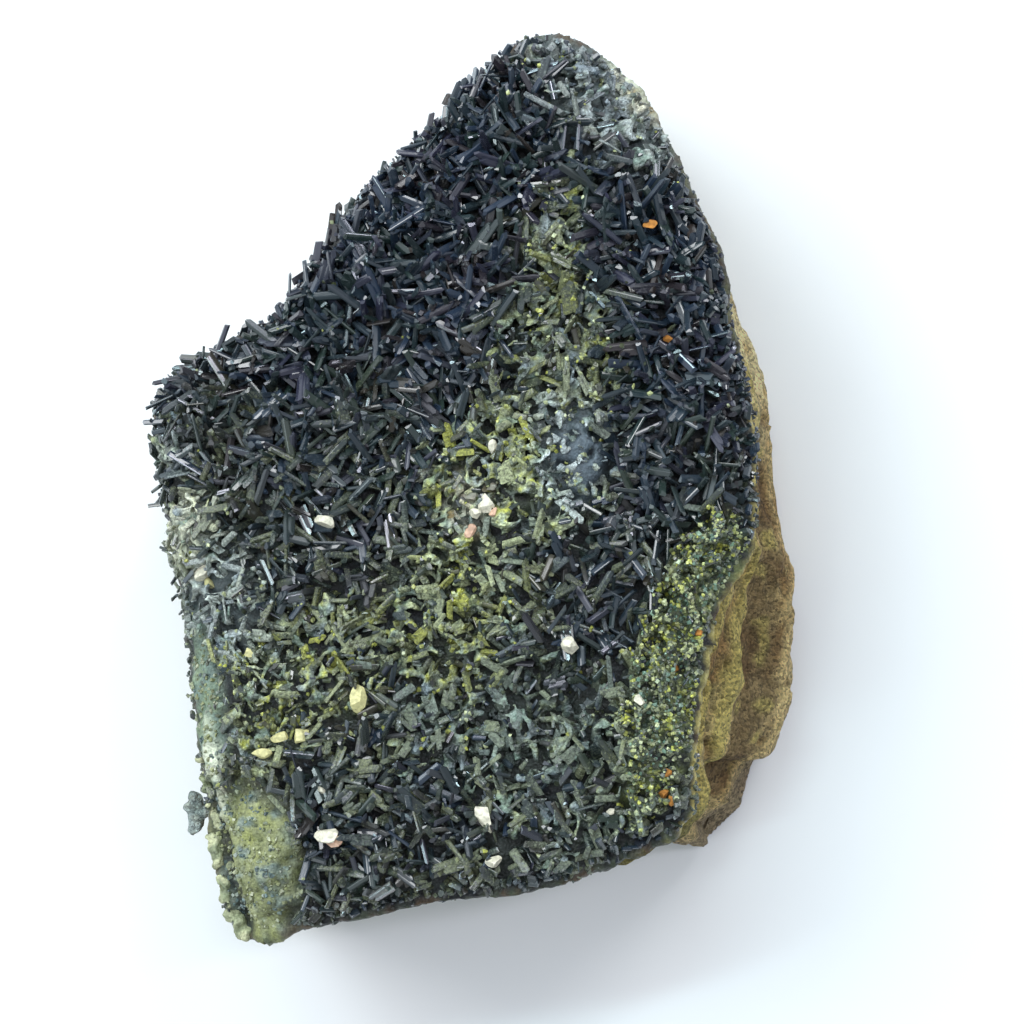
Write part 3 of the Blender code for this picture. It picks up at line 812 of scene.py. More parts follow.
def laid(roots, ways, lengths, widths, leans, lifts, towards=None):
    """A list of laths with these roots, between these limits, that don't reach far past the rim."""
    count = len(roots)
    near_rim = rise(-1.0, 7.0, inside_rim(roots))
    lowered = rise(-1.5, 4.0, inside_rim(roots))
    length = draw.uniform(*lengths, count) * (0.3 + 0.7 * near_rim if towards is None else 1)
    length *= 1 - 0.55 * np.clip(3 * most_of(BARE, roots), 0, 1)
    length *= 1 - 0.35 * most_of(FELTED, roots)
    reach = -RIM_REACH - 0.6 * near_shoulder(roots)
    lean = np.radians(draw.uniform(*leans, count)) * (0.75 + 0.25 * near_rim)
    seen_aside = -np.array(camera_back)[:2] / camera_back.z  # the shift in the view, per mm of height
    heading = unit(draw.normal(0, 1, (count, 3)))
    for _ in range(TRIES):
        if towards is not None:
            heading = unit(towards + draw.normal(0, 0.45, (count, 3)))
        level = unit(heading - ways * (heading * ways).sum(1, keepdims=True))
        axis = ways * np.cos(lean)[:, None] + level * np.sin(lean)[:, None]
        tips = roots + TIP_MARGIN * axis * length[:, None]
        seen = tips.copy()
        seen[:, :2] += np.clip((tips - roots)[:, 2:] + SEEN_LIFT, 0, None) * seen_aside
        over = np.minimum(inside_rim(tips), inside_rim(seen)) < reach
        over |= most_of(("massive", "rubble", "strip"), tips) > 0.35
        heading = np.where(over[:, None], unit(draw.normal(0, 1, (count, 3))), heading)
        length = np.where(over & (towards is not None), length * 0.85, length)
    kept = np.flatnonzero(~over)
    roots, ways, axis, length, lowered = (values[kept] for values in (roots, ways, axis, length, lowered))
    count = len(kept)
    larger = 0.9 + 0.35 * rise(-20, 30, roots[:, 1])
    length, width = length * larger, draw.uniform(*widths, count) * (0.7 + 0.3 * larger)
    up = unit(ways - axis * (ways * axis).sum(1, keepdims=True))
    beside = np.cross(axis, up)
    roll = np.radians(draw.normal(0, 38, count))
    flat = up * np.cos(roll)[:, None] + beside * np.sin(roll)[:, None]
    return {
        "root": roots + ways * (draw.uniform(*lifts, count) * lowered)[:, None], "axis": axis, "flat": flat,
        "length": length, "width": width, "thickness": width * draw.uniform(0.7, 1.0, count),
        "tint": draw.uniform(0, 1, count),
    }


# %% [markdown]
# ## What coats a lath
# The felt is a film of fine epidote and clay that settled on the laths: olive in the streak, grey towards the
# point, greenish grey low down, with yellow-green tufts. Every lath is given the coat of the place it stands in.

# %% Coat the laths by place
COAT_OLIVE, COAT_MOSS, COAT_GREY = linear("#a9b085"), linear("#a4a750"), linear("#c6d0d2")
COAT_SMOOTH, COAT_PALE, COAT_YELLOW = linear("#7f8e86"), linear("#dedec6"), linear("#aeb03e")
FILM, COAT_CREAM = linear("#7d8a7c"), linear("#ddd7bb")
BRIGHT_PIXEL, BRIGHT_SPREAD = (495, 530), 13.0  # where the felt is palest, and how far that goes, in mm


def coat_colours(spots):
    """The felt's colour at each point."""
    wide, fine, tuft = ripples(spots, 7.0, 31.0), ripples(spots, 1.5, 33.0), ripples(spots, 0.8, 39.0)
    olive = share_of("olive", spots)
    mossy = rise(-0.05, 0.45, 0.8 * wide + 0.6 * fine + 0.9 * tuft) * (0.2 + 0.7 * olive)
    colour = painted(
        blended(COAT_OLIVE, FILM, rise(-0.1, 0.4, ripples(spots, 3.5, 37.0) + 0.5 * ripples(spots, 1.0, 36.0))),
        (COAT_GREY, share_of("grey", spots) * 0.9),
        (COAT_SMOOTH, share_of("smooth", spots) * 0.85),
        (COAT_PALE, share_of("pale", spots) * 0.8),
        (COAT_MOSS, np.clip(mossy * (0.9 + 0.5 * rise(20, -10, spots[:, 1])), 0, 1)),
        (COAT_YELLOW, rise(0.3, 0.65, 0.6 * fine + 0.8 * wide + 0.9 * tuft) * olive * 0.6),
    )
    away = spots[:, :2] - under_pixel(BRIGHT_PIXEL)[:2]
    light = 0.76 + 0.22 * (1 - rise(0, 20, spots[:, 1])) + 0.6 * np.exp(-(away**2).sum(1) / BRIGHT_SPREAD**2)
    return blended(colour * light[:, None], COAT_CREAM, share_of("cream", spots) * rise(-0.3, 0.1, fine) * 0.9)


# how much of a lath is coated where it stands in a patch of each kind
COVER = {"olive": 0.8, "grey": 0.85, "smooth": 0.6, "pale": 0.8, "granular": 0.8, "massive": 1.0, "strip": 0.9}


def coated(crystals, dustiness=1.0):
    """Adds each crystal's coat colour and amount to the list."""
    spots = crystals["root"]
    cover = sum(share_of(kind, spots) * amount for kind, amount in COVER.items())
    lower_half = rise(32, -15, spots[:, 1] + 0.25 * spots[:, 0])
    patchy = rise(-0.45, 0.45, ripples(spots, 6.0, 41.0) + 0.5 * ripples(spots, 2.5, 43.0))
    stray = 0.16 * patchy + lower_half * (0.2 + 0.4 * patchy) * draw.uniform(0.6, 1.2, len(spots)) * dustiness
    crystals["coat"] = coat_colours(spots) * (0.5 + 0.5 * np.clip(cover, 0, 1))[:, None]
    crystals["amount"] = np.clip(cover * draw.uniform(0.5, 1.1, len(spots)) + stray, 0, 1)
    return crystals


# %% [markdown]
# ## Vitreous epidote
# Epidote from a vein is almost black, with a glassy shine and a high refractive index, about 1.75, which makes
# its flat sides flash. The grooves along it are about a fifth of a millimetre apart: each flat face is a bundle
# of fine bright lines. The felt hides the shine where it lies, first in the hollows.

# %% Make the laths' material
vitreous, add = new_material("vitreous_epidote")
spot = in_mm(add)
grain = add("Attribute", attribute_name="grain")
coat = add("Attribute", attribute_name="coat")
tint = add("Attribute", attribute_name="tint")
body = add("ValToRGB", {"Fac": tint.outputs["Fac"]})
body.color_ramp.elements[0].color = (*linear("#212b33"), 1)
body.color_ramp.elements[1].color = (*linear("#2b2421"), 1)
for place, hex_colour in ((0.3, "#243042"), (0.55, "#22302d"), (0.8, "#2e2f40")):
    body.color_ramp.elements.new(place).color = (*linear(hex_colour), 1)
worn = add("TexWhiteNoise", {"W": tint.outputs["Fac"]}, noise_dimensions="1D")
stretched = add("VectorMath", {0: grain.outputs["Vector"], 1: (5.0, 5.0, 0.15)}, operation="MULTIPLY")
grooves = add("TexNoise", {"Vector": stretched, "Scale": 1.0, "Detail": 1.0})
tufts = add("TexNoise", {"Vector": spot, "Scale": 2.1, "Detail": 4.0, "Roughness": 0.7})
patchy = add("Math", {0: tufts, 1: coat.outputs["Alpha"]}, operation="ADD")
cover = add("MapRange", {"Value": patchy, "From Min": 0.88, "From Max": 1.35}, interpolation_type="SMOOTHSTEP")
tuft_tone = add(
    "MapRange", {"Value": tufts, "From Min": 0.35, "From Max": 0.68, "To Min": 0.25, "To Max": 1.35}
)
felt = add("VectorMath", {0: coat, "Scale": tuft_tone}, operation="SCALE")
film = add("VectorMath", {0: coat, "Scale": 0.3}, operation="SCALE")
filmed = add("Mix", {"Factor": coat.outputs["Alpha"], 6: body, 7: film}, data_type="RGBA")
colour_mix = add("Mix", {"Factor": cover, 6: filmed.outputs[2], 7: felt}, data_type="RGBA")
shine = add("MapRange", {"Value": worn, "To Min": 0.08, "To Max": 0.3})
roughness = add("Mix", {"Factor": cover, 2: shine, 3: 0.48})
groove_relief = add("Bump", {"Height": grooves, "Strength": 0.1, "Distance": 0.0001})
tuft_relief = add("Bump", {"Height": tufts, "Strength": cover, "Distance": 0.0006, "Normal": groove_relief})
surface = add("BsdfPrincipled", {
    "Base Color": colour_mix.outputs[2], "Roughness": roughness, "IOR": 1.75, "Normal": tuft_relief,
})
finish_surface(add, surface)

# %% [markdown]
# ## Layers of laths
# Looking down you see laths that lie almost flat, criss-crossing, and between them steeper ones that vanish in
# the dark. So the first layer leans out of the bed, and the second lies across it. In the felted patches the
# laths are smaller and closer.

# %% Grow the dark laths


def sown(spacing, share, limits, dustiness=1.0, outward=False):
    """A coated list of laths, sown that far apart and laid within those limits."""
    roots, ways = sow(spacing, share)
    return coated(laid(roots, ways, *limits, outwards(roots) if outward else None), dustiness)


def dark_share(spots):
    """The share of dark laths that stand at each point."""
    dark = (1 - 0.8 * most_of((*FELTED, "granular"), spots)) * (1 - 0.6 * share_of("grey", spots))
    return dark * (1 - np.clip(1.5 * most_of(BARE, spots), 0, 1))


# each layer's lengths and widths in mm, lean from the face's own way in degrees, and lift off it in mm
STANDING = ((4.6, 7.8), (0.9, 1.8), (15, 58), (-0.8, 0.2))
LYING = ((4.4, 7.8), (0.85, 1.75), (50, 84), (1.2, 3.0))
grow("standing_laths", lath_shapes, sown(2.05, dark_share, STANDING), vitreous, LATH_LENGTH)
grow("lying_laths", lath_shapes, sown(2.1, dark_share, LYING, 0.8), vitreous, LATH_LENGTH)

# %% [markdown]
# ## The felted network
# Where the felt lies, the laths are no longer crisp: they are stubby, lumpy and grown into one network with dark
# holes. A voxel remesh is the right tool for that. We grow stubby laths as before, let the remesh fuse them into
# one skin, and roughen the skin with noise.

# %% Make the felt's material
felt_material, add = new_material("felted_fine_epidote")
spot = in_mm(add)
coat = add("Attribute", attribute_name="coat")
cells = add("TexVoronoi", {"Vector": spot, "Scale": 2.0}, feature="F1")
cell_tone = add("SeparateColor", {0: cells.outputs["Color"]})
mottle = add("TexNoise", {"Vector": spot, "Scale": 1.1, "Detail": 5.0, "Roughness": 0.75})
lightness = add(
    "MapRange", {"Value": mottle, "From Min": 0.33, "From Max": 0.68, "To Min": 0.25, "To Max": 1.65}
)
toned = add("VectorMath", {0: coat, "Scale": lightness}, operation="SCALE")
gloss = add("MapRange", {"Value": cell_tone.outputs[1], "To Min": 0.2, "To Max": 0.65})
height = add("Math", {0: cells, 1: mottle}, operation="ADD")
relief = add("Bump", {"Height": height, "Strength": 0.8, "Distance": 0.0004})
surface = add("BsdfPrincipled", {"Base Color": toned, "Roughness": gloss, "IOR": 1.65, "Normal": relief})
finish_surface(add, surface)

# %% Fuse the network
FELT_VOXEL = 0.42  # in mm
FELT_TEAL, FELT_SLATE, FELT_DARK_AND_SHADE = linear("#6f8578"), linear("#75818b"), linear("#262c27")


def sheet_height(x, y):
    """The height of the rock's upper face there, in mm."""
    hit = sheet_near.ray_cast(Vector((x, y, ABOVE)) * MM, DOWN)[0]
    return hit.z / MM if hit is not None else rim[:, 2].mean()


def grow_felt(name, kinds, lengths, widths, leans):
    """One piece of fused, roughened laths over the patches of these kinds."""

    def felted_share(spots):
        bare = np.maximum(most_of(("massive", "rubble", "strip"), spots), 0.5 * share_of("plateau", spots))
        return np.clip(1.15 * most_of(kinds, spots) - 0.05, 0, 1) * (1 - bare)

    low = sown(1.95, felted_share, (lengths, widths, leans, (-0.6, 0.6)))
    high = sown(2.15, felted_share, (lengths, widths, (64, 88), (1.2, 2.6)))
    both = {key: np.concatenate([low[key], high[key]]) for key in low}
    skin = remeshed(joined(lath_shapes, both, LATH_LENGTH), FELT_VOXEL, soften=1)
    points, facing = places(skin), facings(skin)
    bent = np.column_stack([ripples(points, 3.4, shift) for shift in (81.0, 83.0, 85.0)])
    rough = 0.35 * ripples(points, 1.7, 71.0) + 0.18 * ripples(points, 0.9, 73.0)
    points = points + 0.95 * bent + facing * rough[:, None]
    move_to(skin, points)
    light_edge = share_of("pale", points) + 0.5 * share_of("cream", points)
    darker = np.maximum(rise(0.05, 0.4, ripples(points, 3.0, 77.0)), rise(0.1, 0.4, ripples(points, 1.3, 78.0)))
    above = points[:, 2] - np.array([sheet_height(x, y) for x, y, _ in points.tolist()])
    keep_colours(skin, "coat", painted(
        coat_colours(points),
        (FELT_TEAL, rise(0.05, 0.4, ripples(points, 3.0, 75.0)) * 0.8),
        (FELT_SLATE, rise(0.1, 0.45, ripples(points, 4.0, 79.0)) * 0.8),
        (FELT_DARK_AND_SHADE, darker * 0.8 * (1 - 0.7 * np.clip(light_edge, 0, 1))),
        # painted shade: the felt close to the bed is painted dark, low between the laths; the line above gives
        # random darker patches
        (FELT_DARK_AND_SHADE, (1 - rise(3.0, 5.4, above)) * 0.9),
    ))
    return add_piece(name, skin, "epidote_druse", felt_material, even=True)


grow_felt("olive_felt", ("olive",), (3.2, 6.2), (0.85, 1.6), (25, 80))
grow_felt("grey_felt", ("grey", "smooth", "pale"), (3.2, 6.2), (0.9, 1.7), (30, 85))

# %% Grow the crisp laths in the felt


def crisp_share(spots):
    """The share of small crisp laths that stand at each point."""
    return (0.05 + 0.5 * most_of((*FELTED, "granular"), spots)) * (1 - most_of(BARE, spots))


CRISP = ((2.2, 4.4), (0.6, 1.3), (45, 84), (1.4, 3.0))
crisp = sown(1.75, crisp_share, CRISP)
crisp["amount"] = crisp["amount"] * draw.uniform(0.15, 0.8, len(crisp["amount"]))
grow("crisp_laths", lath_shapes, crisp, vitreous, LATH_LENGTH)

# %% [markdown]
# ## A fringe along the rim
# The block broke through the crystals, and short stubs line the break all the way round. They point outwards and
# a little down, so they hide the edge of the bed, and the specimen's outline is knobbly and not smooth.

# %% Line the rim with stubs


def rim_share(spots):
    """1 close to the rim, but fewer in the massive corner."""
    sparse = np.clip(3 * most_of((*BARE, "granular"), spots), 0, 1)
    return (1 - rise(1.2, 2.4, inside_rim(spots))) * (1 - sparse)


STUBS = ((1.8, 3.8), (0.8, 1.5), (30, 85), (-1.2, 0.6))
grow("rim_stubs", lath_shapes, sown(1.15, rim_share, STUBS, outward=True), vitreous, LATH_LENGTH)

# %% Line the broken edge of the bed
WALL_STUBS, WALL_INSET = 1500, 1.2  # how many are tried, and how far inside the rim they start, in mm
ahead = np.roll(rim, -1, 0)
sides = np.linalg.norm(ahead - rim, axis=1)
at = draw.choice(len(rim), WALL_STUBS, p=sides / sides.sum())
part = draw.uniform(0, 1, (WALL_STUBS, 1))
spots = rim[at] * (1 - part) + ahead[at] * part
along_rim = unit(ahead[at] - rim[at])
out = np.column_stack([along_rim[:, 1], -along_rim[:, 0], np.zeros(WALL_STUBS)])
out *= np.sign((out * (spots - rim.mean(0))).sum(1, keepdims=True))
roots = spots - out * (WALL_INSET - reach_out(spots))[:, None]
roots[:, 2] += GAP + draw.uniform(0.2, BED, WALL_STUBS)
kept = draw.uniform(0, 1, WALL_STUBS) < rim_share(spots)
roots, out = roots[kept], out[kept]
axis = unit(out + draw.normal(0, 0.4, (len(roots), 3)))
width = draw.uniform(0.7, 1.5, len(roots))
wall = coated({
    "root": roots, "axis": axis, "flat": unit(np.cross(axis, draw.normal(0, 1, (len(roots), 3)))),
    "length": draw.uniform(1.6, 2.6, len(roots)), "width": width, "thickness": width * 0.8,
    "tint": draw.uniform(0, 1, len(roots)),
})
grow("edge_stubs", lath_shapes, wall, vitreous, LATH_LENGTH)

# %% [markdown]
# ## Granules on top
# Between and on the felted laths sit granules of the same mineral, like coarse sugar: yellow-green, olive and
# teal. They gather in clumps. Rays cast down find the topmost surface, and each granule is sunk a little into
# it. A granule is a small ball with a few faces, squeezed and turned at random.

# %% Find the topmost surface
CARRIERS = ("druse_bed", "standing_laths", "lying_laths", "olive_felt", "grey_felt", "crisp_laths", "rim_stubs")
top_points, top_faces, first_point = [], [], 0
for thing in [bpy.data.objects[name] for name in CARRIERS]:
    top_points.extend(v.co[:] for v in thing.data.vertices)
    top_faces.extend(tuple(i + first_point for i in f.vertices) for f in thing.data.polygons)
    first_point = len(top_points)
topmost = BVHTree.FromPolygons(top_points, top_faces)
print("topmost surface", len(top_faces), "faces")

# %% Make the granule shapes
granule_shapes = []
for _ in range(5):
    granule = bmesh.new()
    bmesh.ops.create_cube(granule, size=0.95)
    for _ in range(4):
        way = Vector(draw.normal(0, 1, 3)).normalized()
        cut_off(granule, way * draw.uniform(0.34, 0.46), way)
    granule_shapes.append(shape_arrays(granule))
print("granule shapes, triangles:", [len(triangles) for _, triangles in granule_shapes])

# %% Make the granules' material


def speckled(add, colour, scale, detail, tones, strength, roughness, ior):
    """Gives a material that colour, with lighter and darker specks of 1/scale mm and a low relief."""
    speck = add("TexNoise", {"Vector": in_mm(add), "Scale": scale, "Detail": detail})
    darkest, lightest = tones
    light = add(
        "MapRange", {"Value": speck, "From Min": 0.3, "From Max": 0.7, "To Min": darkest, "To Max": lightest}
    )
    toned = add("VectorMath", {0: colour, "Scale": light}, operation="SCALE")
    relief = add("Bump", {"Height": speck, "Strength": strength, "Distance": 0.0003})
    surface = {"Base Color": toned, "Roughness": roughness, "IOR": ior, "Normal": relief}
    finish_surface(add, add("BsdfPrincipled", surface))


granular_epidote, add = new_material("granular_epidote")
speckled(add, add("Attribute", attribute_name="coat"), 2.5, 3.0, (0.6, 1.4), 0.4, 0.35, 1.7)

# %% Scatter the granules
GRANULE_DARK, GRANULE_TEAL = linear("#2c3628"), linear("#66897a")


def granule_share(spots):
    """The share of granules that lie at each point."""
    clumps = rise(-0.1, 0.35, ripples(spots, 3.4, 51.0) + 0.5 * ripples(spots, 1.5, 53.0))
    olive, granular = share_of("olive", spots), rise(0.15, 0.7, share_of("granular", spots))
    other = most_of(("grey", "smooth", "pale"), spots)
    few = 0.015 * rise(0.1, 0.5, ripples(spots, 8.0, 57.0))
    shares = 0.22 * olive * clumps + granular + 0.1 * other * clumps + few + 0.3 * share_of("massive", spots)
    return np.clip(shares + 0.2 * share_of("strip", spots), 0, 1)


def scatter(spacing, sizes):
    """A list of granules that are sunk a little in whatever is topmost."""
    roots, _ = sow(spacing, granule_share)
    found = [topmost.ray_cast(Vector((x, y, ABOVE)) * MM, DOWN)[0] for x, y, _ in roots]
    roots = np.array([hit for hit in found if hit is not None]) / MM
    count = len(roots)
    size = draw.uniform(*sizes, count)
    axis = unit(draw.normal(0, 1, (count, 3)))
    flat = unit(np.cross(axis, unit(draw.normal(0, 1, (count, 3)))))
    wide, fine = ripples(roots, 6.0, 61.0), ripples(roots, 1.6, 63.0)
    granular = share_of("granular", roots)
    clustered = rise(0.0, 0.4, ripples(roots, 2.6, 65.0) + 0.4 * wide)
    teal, dark, cream = (draw.uniform(0, 1, count) < chance for chance in (0.35, 0.5, 0.2))
    patches = rise(0.0, 0.35, ripples(roots, 2.3, 21.0) + 0.6 * ripples(roots, 6.5, 20.0))
    in_corner = painted(CORNER, (CORNER_TEAL, patches), (EDGE_CREAM, cream * 0.3))
    colour = painted(
        blended(COAT_OLIVE, COAT_MOSS, rise(-0.2, 0.3, wide + fine)),
        (COAT_YELLOW, clustered * (0.1 + 0.5 * granular)),
        (GRANULE_TEAL, teal * granular * (1 - clustered) * 0.9),
        (GRANULE_DARK, dark * 0.9),
        (in_corner, rise(0.1, 0.5, most_of(("massive", "strip"), roots))),
    )
    colour = colour * draw.uniform(0.5, 1.2, count)[:, None]
    return {
        "root": roots, "axis": axis, "flat": flat, "length": size, "width": size,
        "thickness": size * draw.uniform(0.6, 1, count), "tint": draw.uniform(0, 1, count),
        "coat": colour, "amount": np.ones(count),
    }


GRANULE_SPACING, GRANULE_SIZES = 0.5, (0.28, 0.75)  # in mm
grow("granules", granule_shapes, scatter(GRANULE_SPACING, GRANULE_SIZES), granular_epidote, 1.0)

# %% [markdown]
# ## Chips and crumbs
# A few chips of cream calcite and pale quartz are caught between the laths, and crumbs of rust sit near the
# right edge. Each is a small ball whose sides are cut off by planes, like a knapped stone. A ray through its
# pixel of the view finds the surface that carries it.

# %% Make the chips' materials


def stone_material(name, hex_colour, roughness):
    """A matt mineral of one colour with fine lighter and darker specks."""
    material, add = new_material(name)
    speckled(add, linear(hex_colour), 1.6, 4.0, (0.65, 1.25), 0.5, roughness, 1.55)
    return material


calcite = stone_material("cream_calcite", "#cfc9b4", 0.5)
yellow_calcite = stone_material("stained_calcite", "#c2bb84", 0.55)
rust = stone_material("iron_rust", "#a86f2c", 0.9)
pink_calcite = stone_material("pink_calcite", "#c9a288", 0.55)

# %% Make and place the chips


def chip(size):
    """One knapped chip with these three sizes, as points and triangles."""
    shape = bmesh.new()
    bmesh.ops.create_icosphere(shape, subdivisions=2, radius=0.6)
    for _ in range(9):
        way = Vector(draw.normal(0, 1, 3)).normalized()
        cut_off(shape, way * draw.uniform(0.26, 0.44), way)
    bmesh.ops.scale(shape, verts=shape.verts[:], vec=size)
    turn = Matrix.Rotation(draw.normal(0, 0.35), 3, "Z") @ Matrix.Rotation(draw.normal(0, 0.35), 3, "X")
    bmesh.ops.rotate(shape, verts=shape.verts[:], matrix=turn)
    return shape_arrays(shape)


CHIP_GROWTH, CHIP_LIFT = 1.3, 0.5  # makes up for what the planes cut off; above its bed, in its own heights


def chips_mesh(name, chips):
    """A mesh of chips, each given as a point and its three sizes in mm."""
    points, triangles, count = [], [], 0
    for spot, size in chips:
        chip_points, chip_triangles = chip(size)
        points.append(chip_points + spot)
        triangles.append(chip_triangles + count)
        count += len(chip_points)
    mesh = bpy.data.meshes.new(name)
    mesh.from_pydata(np.concatenate(points) * MM, [], np.concatenate(triangles))
    return mesh


def add_chips(name, material, chips):
    """One piece of chips, each given as its pixel and its three sizes in mm."""
    placed = []
    for pixel, size in chips.values():
        spot = np.array(seen_through(pixel, topmost)) / MM + (0, 0, CHIP_LIFT * size[2])
        placed.append((spot, np.array(size) * CHIP_GROWTH))
    return add_piece(name, chips_mesh(name, placed), "epidote_druse", material)


CREAM_CHIPS = {
    "left_block": ((325, 521), (2.6, 2.0, 1.4)), "net_left": ((470, 497), (2.2, 1.4, 1.2)),
    "net_right": ((487, 505), (1.8, 2.6, 1.2)), "net_low": ((476, 515), (1.6, 1.4, 1.2)),
    "net_top": ((492, 488), (1.3, 1.0, 1.0)), "right_block": ((573, 646), (2.4, 2.0, 1.6)),
    "tall": ((485, 817), (2.0, 4.2, 1.4)), "below_tall": ((495, 861), (2.0, 1.4, 1.2)),
    "low_left": ((328, 835), (2.8, 1.8, 1.4)), "at_pale_edge": ((205, 574), (1.8, 2.4, 1.3)),
    "above_net": ((493, 447), (1.0, 1.6, 0.9)), "low_right": ((612, 812), (1.2, 1.0, 0.9)),
    "left_crumb": ((322, 790), (1.1, 0.9, 0.8)), "in_granules": ((640, 700), (1.2, 1.2, 1.0)),
}
YELLOW_CHIPS = {
    "large": ((360, 700), (2.0, 3.2, 1.4)), "pair_right": ((302, 735), (1.8, 2.4, 1.2)),
    "pair_left": ((281, 737), (2.6, 1.2, 1.0)), "lowest": ((262, 754), (2.4, 1.2, 1.0)),
    "small": ((250, 652), (1.4, 1.2, 1.0)), "at_pale_edge": ((211, 584), (1.2, 1.6, 1.0)),
}
RUST_CRUMBS = {
    "upper": ((650, 225), (1.8, 1.4, 1.0)), "middle": ((668, 340), (1.2, 1.0, 0.8)),
    "corner_top": ((668, 772), (1.2, 1.0, 0.8)), "corner_left": ((664, 795), (1.5, 1.1, 0.9)),
    "corner_right": ((672, 800), (1.0, 1.3, 0.8)), "at_edge": ((700, 633), (1.0, 1.0, 0.8)),
    "in_granules": ((676, 668), (0.9, 0.8, 0.7)),
}
PINK_CHIPS = {
    "below_net": ((470, 531), (1.3, 1.8, 0.9)), "low_left": ((334, 842), (2.0, 1.6, 1.0)),
    "in_net": ((494, 512), (1.2, 1.0, 0.8)),
}
add_chips("cream_chips", calcite, CREAM_CHIPS)
add_chips("yellow_chips", yellow_calcite, YELLOW_CHIPS)
add_chips("rust_crumbs", rust, RUST_CRUMBS)
add_chips("pink_chips", pink_calcite, PINK_CHIPS)

# %% [markdown]
# ## Rubble and a knob
# Along the lower left edge the crust has crumbled: chunks of pale, massive epidote with dark gaps, and a grey
# knob that sticks out of the flank below them. Chips are fused by a remesh, as the felt was, so that they look
# broken and grown together, and not poured out of a bag.

# %% Heap the rubble along the left edge
RUBBLE_PIXELS = ((200, 760), (207, 800), (212, 845), (220, 885), (230, 918), (246, 934))  # the line it follows
RUBBLE_CHIPS, RUBBLE_SPREAD = 100, 5.5  # how many, and their stray in pixels
RUBBLE_VOXEL = 0.32  # in mm


def heaped(name, chips, replaced, colours, material):
    """One piece of chips, each given as a point and three sizes in mm, fused and roughened."""
    heap = remeshed(chips_mesh(name, chips), RUBBLE_VOXEL)
    skin_points, skin_facing = places(heap), facings(heap)
    rough = 0.3 * ripples(skin_points, 1.6, 91.0) + 0.15 * ripples(skin_points, 0.8, 93.0)
    move_to(heap, skin_points + skin_facing * rough[:, None])
    shades = blended(colours[0], colours[1], rise(-0.2, 0.4, ripples(skin_points, 2.6, 95.0)))
    shades = blended(shades, colours[2], rise(0.0, 0.5, ripples(skin_points, 1.4, 97.0)) * 0.7)
    keep_colours(heap, "stain", shades)
    return add_piece(name, heap, replaced, material, even=True)


rubble_chips = []
for _ in range(RUBBLE_CHIPS):
    part = draw.uniform(0, len(RUBBLE_PIXELS) - 1.01)
    before, after = (np.array(RUBBLE_PIXELS[int(part) + i], float) for i in (0, 1))
    spot = seen_through(before + (after - before) * (part % 1) + draw.normal(0, RUBBLE_SPREAD, 2), topmost)
    size = draw.uniform(1.2, 3.4) * draw.uniform(0.5, 1.0, 3)
    if spot is not None and inside_rim(np.array(spot)[None] / MM)[0] > -0.4:
        rubble_chips.append((np.array(spot) / MM - (0, 0, 0.3), size))
RUBBLE_COLOURS = (linear("#b6b690"), linear("#868d6c"), linear("#5a604a"))
heaped("edge_rubble", rubble_chips, "epidote_druse", RUBBLE_COLOURS, massive_epidote)

# %% Set the knob on the left flank
KNOB_PIXEL, KNOB_SIZE = (194, 812), (2.7, 3.2, 3.8)
KNOB_STEPS = (  # of each chip: share of the way in to the rock, and mm along it
    (0.05, 1.9), (-0.05, 0.5), (0.05, -1.1), (0.1, -2.4), (0.4, 0.4), (0.75, 0.0),
)
KNOB_DEPTH = 3.5  # below the rim, in mm
KNOB_COLOURS = (linear("#c3cfca"), linear("#9fada6"), linear("#cdd2c2"))
knob_ray = ray_through(KNOB_PIXEL)
eye = camera.matrix_world.translation
knob_height = rim_height(np.array([under_pixel(KNOB_PIXEL)]))[0] - KNOB_DEPTH
knob = np.array(eye + knob_ray * ((knob_height * MM - eye.z) / knob_ray.z)) / MM
held_at = np.array(rock_near.find_nearest(knob)[0])
print("knob at", knob.round(1), "on the rock at", held_at.round(1))
knob_chips = [(knob + (held_at - knob) * part + (0, aside, 0), KNOB_SIZE) for part, aside in KNOB_STEPS]
heaped("flank_knob", knob_chips, "host_rock", KNOB_COLOURS, skarn)

# %% [markdown]
# ## The table, the light and the view
# A pale table and a soft studio light keep the colours honest: a bright overcast room all round, one large soft
# box at the upper left for the broad sheen, one at the right for the flank, and narrow bright tubes that give the
# few flat faces which happen to mirror them a sharp flash.

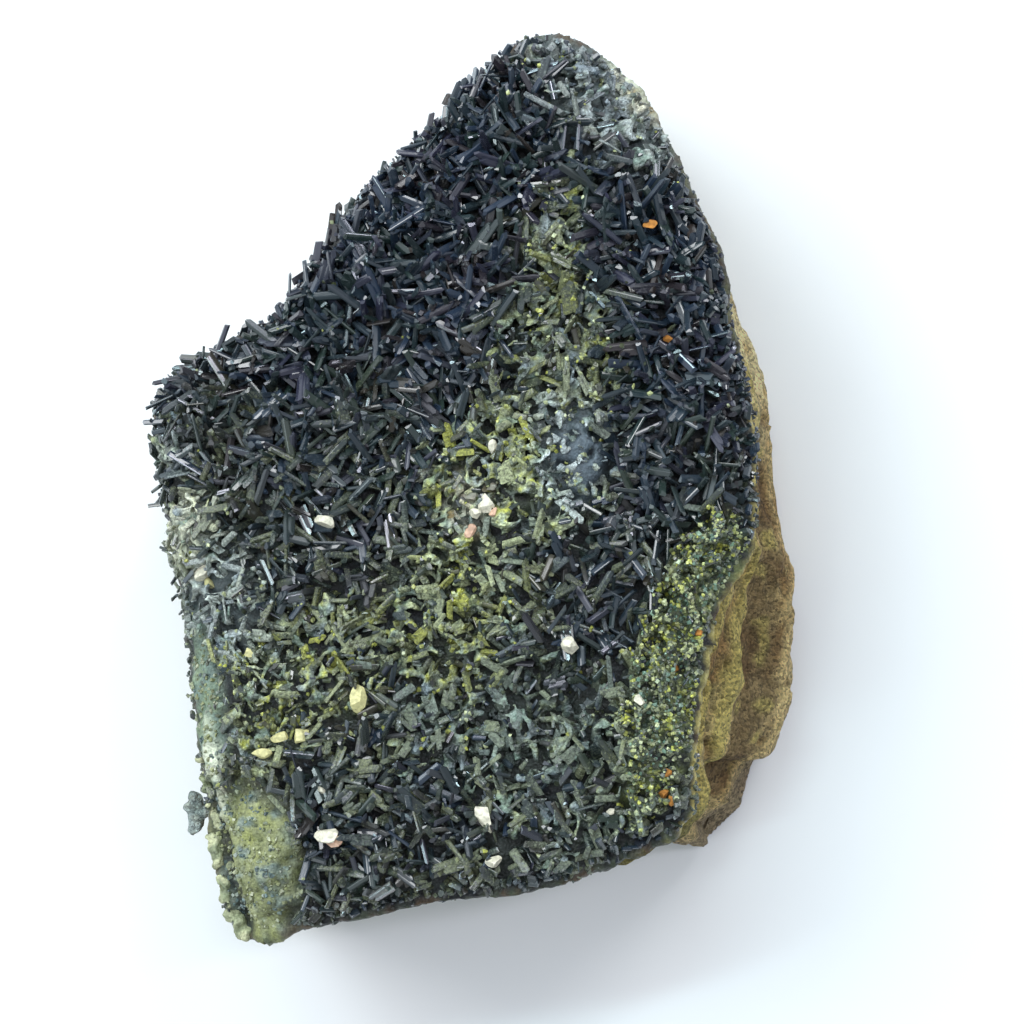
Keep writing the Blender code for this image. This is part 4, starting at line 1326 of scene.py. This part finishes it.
# %% Set the table and the light
TABLE_SIZE = 3.0
table_shape = bmesh.new()
bmesh.ops.create_grid(table_shape, x_segments=1, y_segments=1, size=TABLE_SIZE / 2)
table_mesh = as_mesh(table_shape, "table")
table = bpy.data.objects.new("table", table_mesh)
bpy.context.scene.collection.objects.link(table)
paper, add = new_material("white_matt_card")
card = {"Base Color": (*linear("#dcdcdc"), 1), "Roughness": 0.9, "Specular IOR Level": 0.2}
surface = add("BsdfPrincipled", card)
finish_surface(add, surface)
table_mesh.materials.append(paper)

world = bpy.data.worlds.new("studio")
bpy.context.scene.world = world
world.use_nodes = True
room = world.node_tree
WINDOW_WAY = Vector((-0.62, 0.45, 0.64))  # the side of the room that the daylight comes from
add = partial(add_node, room)
looking = add("TexCoord")
facing_window = add("VectorMath", {0: looking.outputs["Generated"], 1: WINDOW_WAY}, operation="DOT_PRODUCT")
daylight = add("MapRange", {
    "Value": facing_window.outputs["Value"], "From Min": -0.3, "From Max": 0.95, "To Min": 0.32, "To Max": 1.05,
})
room.links.new(daylight.outputs[0], room.nodes["Background"].inputs["Strength"])
room.nodes["Background"].inputs["Color"].default_value = (0.86, 0.93, 1.0, 1)


LAMP_DISTANCE = 1.4  # in m


def add_softbox(name, towards, size, radiance, colour):
    """A flat light that faces the specimen from that direction, as bright as its radiance says."""
    lamp = bpy.data.lights.new(name, "AREA")
    lamp.shape = "RECTANGLE"
    lamp.size, lamp.size_y = size
    lamp.energy = radiance * math.pi * size[0] * size[1]
    lamp.color = colour
    softbox = bpy.data.objects.new(name, lamp)
    bpy.context.scene.collection.objects.link(softbox)
    direction = Vector(towards).normalized()
    softbox.location = direction * LAMP_DISTANCE
    softbox.rotation_euler = direction.to_track_quat("Z", "Y").to_euler()


# name: the way to it, (width, length) in m, brightness, colour
LAMPS = {
    "window": ((-0.8, 0.6, 0.9), (0.8, 0.8), 5.5, (0.98, 0.99, 1.0)),
    "cool_tube": ((-0.15, 0.45, 1.0), (0.9, 0.09), 26.0, (0.66, 0.93, 1.0)),
    "violet_tube": ((0.45, 0.1, 1.0), (0.1, 0.8), 18.0, (0.84, 0.85, 1.0)),
    "low_tube": ((-0.5, -0.6, 1.0), (0.7, 0.08), 16.0, (0.8, 0.97, 1.0)),
    "right_card": ((0.62, 0.9, 0.85), (0.5, 0.5), 9.0, (0.97, 0.99, 1.0)),
}
for lamp_name, lamp_facts in LAMPS.items():
    add_softbox(lamp_name, *lamp_facts)
bpy.context.scene.view_settings.view_transform = "Standard"
